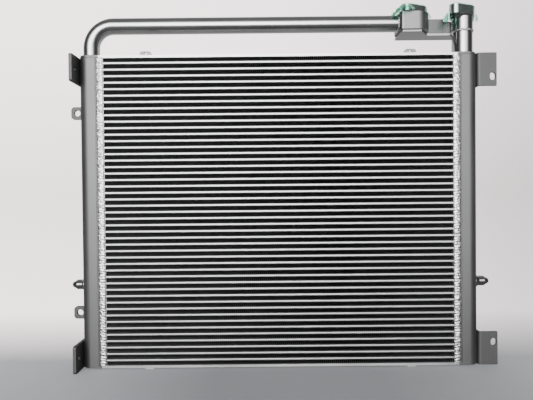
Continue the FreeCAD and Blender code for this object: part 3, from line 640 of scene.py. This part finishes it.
def tank_outline(sign, hollow):
    """The tank's D-section: full for a cap, or a hollow shell with a groove at each seam."""
    low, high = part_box("tank_right")
    inner, outer, front, rear = low[0], high[0], low[1], high[1]
    inset = TANK_ROUND - TANK_WALL
    start, deep = SEAM_OUTER + 0.6 * MM, 1.1 * MM
    corners = [(inner, front)]
    if hollow:
        corners += [(start, front), (start, front + deep)]
        corners += [(start + GROOVE, front + deep), (start + GROOVE, front)]
    corners += [(outer, front, TANK_ROUND), (outer, rear, TANK_ROUND)]
    if hollow:
        corners += [(start + GROOVE, rear), (start + GROOVE, rear - deep)]
        corners += [(start, rear - deep), (start, rear)]
    corners.append((inner, rear))
    if hollow:
        corners += [(inner, rear - TANK_WALL), (outer - TANK_WALL, rear - TANK_WALL, inset)]
        corners += [(outer - TANK_WALL, front + TANK_WALL, inset), (inner, front + TANK_WALL)]
    corners = [(sign * c[0], *c[1:]) for c in corners]
    return rounded(corners, steps=16)


def tanks():
    """Both shells with their end caps and seams. Each top cap is bored for its tube."""
    bores = {
        "left": ring(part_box("return_pipe")[0][0] + PIPE_RADIUS, 0.0, PIPE_RADIUS + 0.1 * MM),
        "right": ring(middle("riser_tube").x, 0.0, RISER_BORE),
    }
    for side, sign in (("left", -1), ("right", 1)):
        node = f"tank_{side}"
        low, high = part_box(node)
        slab(f"{node}_shell", tank_outline(sign, True), [], in_plan, low[2], high[2], "tank",
             (node,), 0.15 * MM)
        for level, holes in (("top", [bores[side]]), ("bottom", [])):
            cap = f"tank_cap_{side}_{level}"
            low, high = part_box(cap)
            slab(f"{cap}_plate", tank_outline(sign, False), holes, in_plan, low[2], high[2],
                 "tank", (cap,), 0.9 * MM)
        seams(side, sign)


def seams(side, sign):
    """The wide welds between tank and core, front and rear."""
    node = f"weld_seams_{side}"
    low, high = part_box(node)
    x = (low[0] + high[0]) / 2
    width = (high[0] - low[0]) * 0.94
    depth = (high[1] - low[1]) / 2
    height, sunk = 2.1 * MM, 1.6 * MM
    face = depth - sunk
    for name, facing in (("front", -1), ("rear", 1)):
        start, end = (x, facing * face, low[2]), (x, facing * face, high[2])
        path = straight(start, end, (1, 0, 0), (0, facing, 0))
        weld_bead(f"seam_{side}_{name}", path, high[2] - low[2], width, height,
                  pitch=5.2, seed=3 * sign + facing, stands_for=(node,))


# Oil lines

PIPE_RADIUS = 16.0 * MM
PIPE_WALL = 2.5 * MM
PIPE_BEND = 45.0 * MM
RISER_BORE = 16.5 * MM
ARM_TOP = 690 * MM


def pipe_stations(x, low, end, level):
    """The pipe's middle line as (point, turn, squeeze): up, through the bend and across."""
    up_steps, bend_steps, run_steps = 8, 32, 60
    stations = []
    for i in range(up_steps + 1):
        height = low + (level - PIPE_BEND - low) * i / up_steps
        stations.append((Vector((x, 0, height)), 0.0, 0.0))
    start = x + PIPE_BEND
    centre = Vector((start, 0, level - PIPE_BEND))
    for i in range(1, bend_steps + 1):
        turn = math.pi / 2 * i / bend_steps
        spot = centre + Vector((-math.cos(turn), 0, math.sin(turn))) * PIPE_BEND
        stations.append((spot, turn, math.sin(2 * turn)))
    for i in range(1, run_steps + 1):
        spot = Vector((start + (end - start) * i / run_steps, 0, level))
        stations.append((spot, math.pi / 2, 0.0))
    return stations


def return_pipe():
    """The drawn tube: straight, one bend slightly flattened, and straight again."""
    low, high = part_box("return_pipe")
    x, level = low[0] + PIPE_RADIUS, high[2] - PIPE_RADIUS
    stations = pipe_stations(x, low[2], high[0], level)
    bm = bmesh.new()
    steps, flattening = 72, 0.035
    skins = []
    for radius in (PIPE_RADIUS, PIPE_RADIUS - PIPE_WALL):
        rows = []
        for spot, turn, squeeze in stations:
            outward = Vector((-math.cos(turn), 0, math.sin(turn)))
            row = []
            for k in range(steps):
                angle = math.tau * k / steps
                wide = radius * math.sin(angle)
                flat = radius * math.cos(angle) * (1 - flattening * squeeze)
                row.append(bm.verts.new(spot + outward * flat + Vector((0, wide, 0))))
            rows.append(row)
        grid_faces(bm, rows, close_columns=True)
        skins.append(rows)
    for end in (0, -1):
        grid_faces(bm, [skins[0][end], skins[1][end]], close_columns=True)
    settle("return_pipe_tube", mesh_of("return_pipe_tube", bm), "pipe", stands_for=("return_pipe",))
    gap = 0.6 * MM
    foot = (x, 0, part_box("tank_cap_left_top")[1][2])
    weld_ring("pipe_weld_tank", "pipe_welds", foot, PIPE_RADIUS, gap, (0, 0, 1),
              3.4 * MM, 1.6 * MM, pitch=2.6, seed=5)
    mouth = (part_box("port_block")[0][0], 0, level)
    weld_ring("pipe_weld_block", "pipe_welds", mouth, PIPE_RADIUS, gap, (-1, 0, 0),
              3.8 * MM, 1.8 * MM, pitch=2.8, seed=6)


def port_block():
    """The elbow block, with square corners towards the pipe and round ones at the port."""
    low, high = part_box("port_block")
    small, large = 6 * MM, (high[1] - low[1]) / 2 - 0.1 * MM
    corners = [(low[0], low[1], small), (high[0], low[1], large)]
    corners += [(high[0], high[1], large), (low[0], high[1], small)]
    bore = ring(middle("block_port_film").x, 0, 16 * MM, 64)
    slab("port_block_body", rounded(corners, 24), [bore], in_plan, low[2], high[2], "block",
         ("port_block",), 0.8 * MM)


EAR_REACH = 21.9 * MM
EAR_ROUND = 10.5 * MM
FLANGE_ROUND = 23.5 * MM
PORT_BORE = 15.15 * MM


def oval(x, grow=0.0, steps=16):
    """A two-bolt flange's outline: a boss and two ears on the diagonal."""
    ear, boss = EAR_ROUND + grow, FLANGE_ROUND + grow
    lean = math.asin((boss - ear) / (EAR_REACH * math.sqrt(2)))
    long, short = boss / math.sin(lean) / math.sqrt(2), boss / math.cos(lean) / math.sqrt(2)
    corners = [(x + long, long, ear), (x - short, short, boss)]
    corners += [(x - long, -long, ear), (x + short, -short, boss)]
    return rounded(corners, steps)


def port_flange(name, node, x, low, high):
    """The flange with its bore and two bolt holes, which end inside it."""
    bolt, depth = 4.25 * MM, 10 * MM
    bore = ring(x, 0, PORT_BORE, 64)
    holes = [ring(x + s * EAR_REACH, s * EAR_REACH, bolt, 24) for s in (-1, 1)]
    blind = [(points, high - depth) for points in holes]
    slab(name, oval(x), [bore], in_plan, low, high, "flange", (node,), 0.7 * MM, blind)


def riser():
    """The tube on the right tank, its neck, both port flanges and the riser's two welds."""
    low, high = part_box("riser_tube")
    x = (low[0] + high[0]) / 2
    radius = (high[0] - low[0]) / 2
    corners = [(RISER_BORE, low[2]), (radius, low[2]), (radius, high[2]), (RISER_BORE, high[2])]
    lathe("riser_tube_pipe", corners, (x, 0, 0), "riser", stands_for=("riser_tube",))
    split, top = high[2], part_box("riser_port_head")[1][2]
    flange_low, neck, flare = 695 * MM, 20.5 * MM, 2 * MM
    corners = [(PORT_BORE, split), (neck, split), (neck, flange_low - flare)]
    corners += [(neck + flare, flange_low, 0.1 * MM), (PORT_BORE, flange_low)]
    lathe("riser_neck", corners, (x, 0, 0), "riser", stands_for=("riser_port_head",))
    port_flange("riser_flange", "riser_port_head", x, flange_low, top)
    low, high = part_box("block_port_head")
    port_flange("block_flange", "block_port_head", middle("block_port_head").x, low[2], high[2])
    foot = (x, 0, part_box("tank_cap_right_top")[1][2])
    weld_ring("riser_weld_base", "riser_base_weld", foot, radius, 0.3 * MM, (0, 0, 1),
              2.2 * MM, 1.0 * MM, pitch=2.6, seed=8)
    joint = (x, 0, middle("riser_weld").z)
    weld_ring("riser_weld_ring", "riser_weld", joint, radius, 0.4 * MM, (0, 0, 1),
              5.0 * MM, 1.5 * MM, pitch=2.8, seed=9, lean=1.0)


def tie_plate():
    """The plate under block and valve, with a slanted step and a notch for the riser."""
    low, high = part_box("tie_plate")
    valve_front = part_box("bypass_body")[0][1]
    step_left, step_right = 285 * MM, 303 * MM
    rear_right = (high[0], high[1])
    corners = [(low[0], low[1], 3 * MM), (step_left, low[1], 2 * MM)]
    corners += [(step_right, valve_front, 3 * MM), (high[0], valve_front)]
    corners += [rear_right, (low[0], high[1], 4 * MM)]
    steps = 6
    whole = rounded(corners, steps)
    front_left, rear_left = whole[:3 * (steps + 1)], whole[-(steps + 1):]
    x = middle("riser_tube").x
    notch = 21.8 * MM
    start = math.pi - math.asin(valve_front / notch)
    end = math.acos((high[0] - x) / notch)
    outline = front_left + arc(x, 0.0, notch, start, end, 24) + [Vector(rear_right)] + rear_left
    slab("tie_plate_cut", outline, [], in_plan, low[2], high[2], "plate", ("tie_plate",), 0.5 * MM)


# Bypass valve


def bypass():
    """The valve's housing with its arm, and the small parts it holds."""
    low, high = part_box("bypass_body")
    x = middle("riser_tube").x
    port = middle("block_port_head").x
    split, rear_arm, lap = 337 * MM, 21 * MM, 0.5 * MM
    block_low, block_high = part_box("port_block")
    block = (block_high[1] - block_low[1]) / 2
    rear_turn, front_turn = 1.15, math.asin(low[1] / block)
    corners = [(split, low[1]), (split, high[1]), (low[0], high[1])]
    housing = [Vector(corner) for corner in corners]
    housing += arc(port, 0.0, block, rear_turn, front_turn, 16)
    centre = middle("bypass_plug")
    hole = ring(centre.x, centre.y, 9.0 * MM, 48)
    slab("bypass_housing", housing, [hole], in_plan, low[2], high[2], "milled",
         ("bypass_body",), 0.9 * MM)
    saddle = 21.0 * MM
    start, end = math.pi - math.asin(low[1] / saddle), math.pi / 2 + 0.12
    arm = [Vector((split - lap, low[1] + 1 * MM))]
    arm += arc(x, 0.0, saddle, start, end, 16)[1:]
    arm += [Vector((x + saddle * math.cos(end), rear_arm)), Vector((split - lap, rear_arm))]
    slab("bypass_arm", arm, [], in_plan, low[2], ARM_TOP, "milled", ("bypass_body",), 0.6 * MM)
    dress("bypass_plug", "steel", 0.2 * MM)
    dress("bypass_poppet", "steel", 0.2 * MM)
    dress("bypass_seal", "rubber")
    bypass_spring()


def bypass_spring():
    """The poppet's coil, on a mesh of its own."""
    low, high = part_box("bypass_spring")
    centre = middle("bypass_spring")
    wire, turns, sides, lift = 0.5 * MM, 5, 10, 3.5 * MM
    section = [math.tau * k / sides for k in range(sides)]
    radius = (high[0] - low[0]) / 2 - wire
    free = high[2] - low[2]
    rise = free - 2 * wire
    bm = bmesh.new()
    rows = []
    count = turns * 28
    for i in range(count + 1):
        angle = math.tau * turns * i / count
        spoke = Vector((math.cos(angle), math.sin(angle), 0))
        spot = Vector((centre.x, centre.y, low[2] + wire + rise * i / count)) + spoke * radius
        rows.append([bm.verts.new(spot + spoke * wire * math.cos(a)
                                  + Vector((0, 0, wire * math.sin(a)))) for a in section])
    grid_faces(bm, rows, close_columns=True)
    bm.faces.new(rows[0])
    bm.faces.new(rows[-1])
    spring = settle("bypass_coil", mesh_of("bypass_coil", bm), "steel",
                    stands_for=("bypass_spring",))
    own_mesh(spring)


# Mountings


def flat_brackets():
    """The left brackets: plates standing front to rear, with a round hole near the front."""
    corner, setback = 4 * MM, 17 * MM
    for level in ("top", "bottom"):
        node = f"bracket_left_{level}"
        low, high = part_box(node)
        corners = [(low[1], low[2], corner), (high[1], low[2]), (high[1], high[2])]
        corners += [(low[1], high[2], corner)]
        hole = ring(low[1] + setback, (low[2] + high[2]) / 2, 5.5 * MM)
        slab(f"{node}_plate", rounded(corners), [hole], facing_side, low[0], high[0],
             "bracket", (node,), 0.5 * MM)
        corner_welds(node, high[0], high[1], low[2], high[2], -1)


def corner_welds(node, x, y, low, high, sign):
    """Uneven beads in the corner between a bracket's rear edge and its tank."""
    slant = (sign * 0.7, 0.7, 0)
    path = straight((x, y, low + MM), (x, y, high - MM), slant, slant)
    weld_bead(f"{node}_bead", path, high - low - 2 * MM, 4.0 * MM, 2.6 * MM, pitch=3.0,
              seed=int(low * 100), stands_for=("bracket_welds",))


def angle_brackets():
    """Angles bent from plate, with the upright slot cut through the flange."""
    thick, bend, inner = 5 * MM, 6 * MM, 1.5 * MM
    slot_x, width, run, cut = 423.7 * MM, 5.5 * MM, 7.5 * MM, 5.49 * MM
    same_level, flange_least = 1e-6, 20 * MM
    for level, slot_level in (("top", 572 * MM), ("bottom", 45.4 * MM)):
        node = f"bracket_right_{level}"
        low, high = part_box(node)
        corners = [(low[0], low[1], bend), (high[0], low[1]), (high[0], low[1] + thick)]
        corners += [(low[0] + thick, low[1] + thick, inner), (low[0] + thick, high[1])]
        corners += [(low[0], high[1])]
        outline = rounded(corners, 8)
        left, right = slot_x - width, slot_x + width
        slot_low, slot_high = slot_level - run, slot_level + run
        slot = rounded([
            (left, slot_low, cut), (right, slot_low, cut),
            (right, slot_high, cut), (left, slot_high, cut)])
        bm = bmesh.new()
        bottom, top = (loop(bm, outline, in_plan, z) for z in (low[2], high[2]))
        mouths = []
        for i, here in enumerate(outline):
            j = (i + 1) % len(outline)
            there = outline[j]
            quad = (bottom[i], bottom[j], top[j], top[i])
            if abs(here.y - there.y) < same_level and abs(there.x - here.x) > flange_least:
                for first, second in zip(quad, quad[1:] + quad[:1]):
                    if not bm.edges.get((first, second)):
                        bm.edges.new((first, second))
                mouths.append(loop(bm, slot, facing_front, here.y))
                fill(bm, [list(quad), mouths[-1]])
            else:
                bm.faces.new(quad)
        wall(bm, *mouths)
        fill(bm, [bottom])
        fill(bm, [top])
        mesh = mesh_of(f"{node}_angle", bm, sharp=180.0)
        bevelled(settle(mesh.name, mesh, "bracket", stands_for=(node,)), 0.5 * MM)
        corner_welds(node, low[0], high[1], low[2], high[2], 1)


def ears():
    """Small upright tabs on the left tank, with a round hole and a bead on each face."""
    hole_x, corner = -405 * MM, 7 * MM
    for level in ("upper", "lower"):
        node = f"ear_{level}"
        low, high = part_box(node)
        corners = [(high[0], low[2]), (low[0], low[2], corner), (low[0], high[2], corner)]
        corners += [(high[0], high[2])]
        hole = ring(hole_x, (low[2] + high[2]) / 2, 6 * MM)
        slab(f"{node}_tab", rounded(corners), [hole], facing_front, low[1], high[1], "bracket",
             (node,), 0.5 * MM)
        for name, y, facing in (("front", low[1], -1), ("rear", high[1], 1)):
            out = (-0.7, 0.7 * facing, 0)
            path = straight((high[0], y, low[2]), (high[0], y, high[2]), out, out)
            weld_bead(f"{node}_bead_{name}", path, high[2] - low[2], 3.4 * MM, 2.2 * MM,
                      pitch=2.8, seed=11, stands_for=("bracket_welds",))


def pins():
    """Blunt tapered pins, each turned with its sloping base."""
    base, body, tip, taper = 14 * MM, 10 * MM, 4.5 * MM, 10 * MM
    for side, sign, step in (("left", -1, 5.5 * MM), ("right", 1, 9.5 * MM)):
        node = f"locating_pin_{side}"
        low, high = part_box(node)
        length = high[0] - low[0]
        corners = [(0, 0), (base, 0), (base, 1.5 * MM, EDGE), (body, step, 1.0 * MM)]
        corners += [(body, length - taper, 2.5 * MM), (tip, length, 1.2 * MM), (0, length)]
        origin = (high[0] if sign < 0 else low[0], 0, middle(node).z)
        axis = "-X" if sign < 0 else "X"
        lathe(f"{node}_turned", corners, origin, "riser", axis=axis, steps=64, stands_for=(node,))


# Protective film


def resampled(points, count):
    """Evenly spaced points along a closed line, each with the direction outwards."""
    points = points + points[:1]
    steps = [(b - a).length for a, b in zip(points, points[1:])]
    pace = sum(steps) / count
    spots = []
    for i in range(count):
        distance, k = i * pace, 0
        while distance > steps[k]:
            distance -= steps[k]
            k += 1
        spots.append(points[k].lerp(points[k + 1], distance / steps[k]))
    pairs = zip(spots[-1:] + spots[:-1], spots[1:] + spots[:1])
    sense = sum(a.x * b.y - a.y * b.x for a, b in zip(spots, spots[1:] + spots[:1]))
    turn = 1 if sense > 0 else -1
    outward = [Vector(((b - a).y, -(b - a).x)).normalized() * turn for a, b in pairs]
    return list(zip(spots, outward))


def about(angle, aim, width):
    """1 where the angle is the one aimed at, falling to 0 at the width, in degrees."""
    off = abs((math.degrees(angle) - aim + 180) % 360 - 180) / width
    return max(0.0, 1 - off * off) ** 2


def port_film(name, node, hem, flare, crumple, seed):
    """Film pulled over a flange: taut on its sides, creased on top and where it hangs loose.

    hem, flare and crumple give, by angle, the lower edge's level, how far it stands out and
    how deeply it is creased. The second material is for the creased faces.
    """
    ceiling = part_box(node)[1][2]
    centre = middle(node)
    top = ceiling - 0.3 * MM
    steps, rings, drops = 300, 16, 40
    ridge_scale, fine_scale = 190, 520
    roof_depth, slack_least = 0.6 * MM, 4.0 * MM
    edge = resampled(oval(0.0, 0.8 * MM, 24), steps)
    bm = bmesh.new()
    rows, slack = [], []
    for ring_number in range(1, rings + drops + 1):
        line = []
        for point, outward in edge:
            angle = math.atan2(point.y, point.x)
            spoke = Vector((math.cos(angle), math.sin(angle), seed))
            fold = noise.noise(spoke * 5.0)
            pleat = noise.noise(spoke * 14.0)
            deep = crumple(angle)
            if ring_number <= rings:
                share, drop = ring_number / rings, 0.0
                spot = Vector((point.x * share, point.y * share, top))
            else:
                drop = (ring_number - rings) / drops
                level = top + (hem(angle) + 3 * MM * fold * drop - top) * drop
                out = flare(angle) * drop ** 1.2 + (0.5 * fold + 0.8 * pleat) * MM * drop
                spot = Vector((point.x + outward.x * out, point.y + outward.y * out, level))
            ridges = noise.noise_vector(spot * ridge_scale + Vector((seed, seed, 0)))
            fine = noise.noise_vector(spot * fine_scale + Vector((0, seed, 0)))
            weight = deep * (0.25 + 0.75 * drop)
            slack.append(flare(angle) * drop + 1.2 * weight + 1.2 * MM * fold)
            moved = spot + (ridges * 0.9 + fine * 0.35) * weight
            moved.z = min(moved.z, ceiling + 0.2 * MM)
            line.append(bm.verts.new(moved + Vector((centre.x, 0, 0))))
        rows.append(line)
    grid_faces(bm, rows, close_columns=True)
    close_hub(bm, rows[0], (centre.x, 0, top))
    bm.verts.index_update()
    for face in bm.faces:
        looseness = [slack[v.index] for v in face.verts if v.index < len(slack)]
        roof = face.calc_center_median().z > top - roof_depth
        loose = sum(looseness) / len(looseness) > slack_least
        face.material_index = int(roof or loose)
    piece = settle(name, mesh_of(name, bm, sharp=180), "film", body=node, stands_for=(node,))
    piece.data.materials.append(LOOKS["creased"])


def films():
    """The block's film is bunched over the front ear, and the riser's hangs at its left."""
    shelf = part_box("port_block")[1][2]
    port_film("block_film", "block_port_film",
              lambda a: shelf + 3 * MM - 10 * MM * about(a, -15, 75) - 6 * MM * about(a, 215, 60),
              lambda a: (1.2 + 6 * about(a, -10, 70) + 11 * about(a, 215, 45)
                         + 16 * about(a, 180, 35)) * MM,
              lambda a: (0.4 + 7.5 * about(a, 215, 50) + 2.5 * about(a, 180, 40)) * MM, 3.0)
    port_film("riser_film", "riser_port_film",
              lambda a: ARM_TOP + 8 * MM * about(a, 290, 70) - 14 * MM * about(a, 205, 30)
              + 2 * MM * about(a, 165, 40),
              lambda a: (1.0 + 5 * about(a, 0, 45) + 5 * about(a, 205, 35)
                         + 16 * about(a, 160, 30)) * MM,
              lambda a: (0.3 + 1.8 * about(a, 190, 50) + 1.6 * about(a, 10, 45)) * MM, 8.0)


# Studio


def axes(tree, kind):
    """The texture coordinates of a kind, and their X, Y and Z."""
    coords = tree.nodes.new("ShaderNodeTexCoord").outputs[kind]
    split = tree.nodes.new("ShaderNodeSeparateXYZ")
    tree.links.new(coords, split.inputs["Vector"])
    return coords, split.outputs


def studio_world():
    """A dim room with one soft light ahead and a pale wall behind.

    The camera sees the wall as paler than it is for lighting, and with painted light: brightest at
    the upper left, darker to the right.
    """
    world = bpy.data.worlds.new("studio")
    bpy.context.scene.world = world
    world.use_nodes = True
    tree = world.node_tree
    background = tree.nodes["Background"]
    coords, parts = axes(tree, "Generated")
    across, ahead, height = (spread(tree, parts[axis], 0.0, 1.0, -1.0, 1.0) for axis in "XYZ")
    toward = tree.nodes.new("ShaderNodeVectorMath")
    toward.operation = "DOT_PRODUCT"
    toward.inputs[1].default_value = Vector((0.05, -0.96, 0.28)).normalized()
    tree.links.new(coords, toward.inputs[0])
    near = spread(tree, toward.outputs["Value"], 0.0, 1.0, -1.0, 1.0)
    softbox = product(
        tree,
        ramp(tree, near, [
            (0.75, grey(0.0)), (0.821, grey(0.12)), (0.883, grey(0.5)), (0.919, grey(2.0)),
            (0.9455, grey(4.6)), (0.97, grey(6.6)), (1.0, grey(7.2))]),
        ramp(tree, across, [(0.29, grey(1.25)), (0.50, grey(0.95)), (0.67, grey(0.42))]),
    )
    softbox = product(tree, softbox, ramp(tree, height, [
        (0.40, grey(0.35)), (0.48, grey(1.15)), (0.68, grey(1.15)), (0.75, grey(0.40)),
        (0.82, grey(0.05))]))
    room = ramp(tree, height, [
        (0.36, grey(0.05)), (0.50, grey(0.08)), (0.80, grey(0.10)), (0.96, grey(0.22))])
    behind = product(
        tree,
        ramp(tree, ahead, [(0.60, grey(0.0)), (0.74, grey(0.75))]),
        ramp(tree, height, [(0.25, grey(0.6)), (0.65, grey(1.0)), (0.80, grey(0.4))]),
    )
    lit = added(tree, added(tree, softbox, room), behind)
    # Painted light on the wall the camera sees: brighter to the left and towards the top, darker to
    # the right.
    painted_wall_light = product(
        tree,
        ramp(tree, across, [
            (0.26, (2.75, 2.45, 2.42)), (0.50, (2.5, 2.25, 2.25)), (0.74, (1.38, 1.28, 1.28))]),
        ramp(tree, height, [(0.40, grey(1.12)), (0.50, grey(0.95)), (0.64, grey(1.3))]),
    )
    visible = tree.nodes.new("ShaderNodeLightPath")
    mix = tree.nodes.new("ShaderNodeMix")
    mix.data_type = "RGBA"
    tree.links.new(visible.outputs["Is Camera Ray"], mix.inputs["Factor"])
    tree.links.new(lit, mix.inputs["A"])
    tree.links.new(painted_wall_light, mix.inputs["B"])
    tree.links.new(mix.outputs["Result"], background.inputs["Color"])
    background.inputs["Strength"].default_value = 1.0


def area_light(name, place, aim, size, power):
    """A rectangular lamp at a place, aimed at a point."""
    data = bpy.data.lights.new(name, "AREA")
    data.shape = "RECTANGLE"
    data.size, data.size_y = size
    data.energy = power
    lamp = bpy.data.objects.new(name, data)
    lamp.location = place
    direction = Vector(aim) - Vector(place)
    lamp.rotation_euler = direction.to_track_quat("-Z", "Y").to_euler()
    bpy.context.scene.collection.objects.link(lamp)


def floor():
    """A pale floor that fades out behind the cooler, and is darker for all but the camera. Its
    colour holds painted shade, darkest in the middle under the cooler, and it glows faintly with
    painted light.
    """
    bm = bmesh.new()
    steps, rings, reach = 96, 40, 3.0
    rows = []
    for i in range(1, rings + 1):
        circle = ring(0.0, 0.0, reach * (i / rings) ** 2, steps)
        rows.append([bm.verts.new((p.x, p.y, 0)) for p in circle])
    grid_faces(bm, rows, close_columns=True)
    close_hub(bm, rows[0], (0, 0, 0))
    mesh = mesh_of("floor", bm)
    piece = bpy.data.objects.new("floor", mesh)
    bpy.context.scene.collection.objects.link(piece)
    made, tree, shader = node_tree("floor_paint_shade_and_glow")
    cloud = stretched_noise(tree, (3.0,) * 3)
    paint = ramp(tree, cloud, [(0.3, (0.70, 0.71, 0.75)), (0.7, (0.76, 0.77, 0.81))])
    parts = axes(tree, "Object")[1]
    across = spread(tree, parts["X"], 0.0, 1.0, -0.6, 0.6)
    # Painted shade across the floor: darkest in the middle under the cooler, lighter to the right
    # and lightest to the left.
    shading = ramp(tree, across, [
        (0.0, grey(1.0)), (0.22, grey(0.78)), (0.40, grey(0.50)), (0.66, grey(0.50)),
        (0.92, grey(0.74))])
    paint = product(tree, paint, shading)
    eye = tree.nodes.new("ShaderNodeLightPath")
    dimmed = ramp(tree, eye.outputs["Is Camera Ray"], [(0.0, grey(0.22)), (1.0, grey(1.0))])
    shown = product(tree, paint, dimmed)
    tree.links.new(shown, shader.inputs["Base Color"])
    # The floor glows faintly with the colour the camera sees: painted light that brightens it.
    tree.links.new(shown, shader.inputs["Emission Color"])
    shader.inputs["Emission Strength"].default_value = 0.22
    shader.inputs["Roughness"].default_value = 0.8
    rear = spread(tree, parts["Y"], 1.0, 0.0, 0.02, 0.42)
    tree.links.new(rear, shader.inputs["Alpha"])
    mesh.materials.append(made)


def camera():
    """A little above and left of the core's middle, tilted down and rolled slightly."""
    data = bpy.data.cameras.new("camera")
    data.lens = 32.7
    data.sensor_width = 36.0
    eye = bpy.data.objects.new("camera", data)
    eye.location = (-0.025, -0.982, 0.345)
    pitch, roll = math.radians(-0.8), math.radians(-0.55)
    turn = Euler((math.pi / 2 + pitch, 0, 0)).to_matrix() @ Euler((0, 0, roll)).to_matrix()
    eye.rotation_euler = turn.to_euler()
    bpy.context.scene.collection.objects.link(eye)
    bpy.context.scene.camera = eye


# The films' noise vectors depend on this seed.
noise.seed_set(7)
camera()
core()
top_lugs()
tanks()
return_pipe()
port_block()
riser()
tie_plate()
bypass()
flat_brackets()
angle_brackets()
ears()
pins()
films()
studio_world()
floor()
area_light("softbox", (-0.3, -2.9, 0.9), (0, 0, 0.3), (1.5, 1.2), 11)
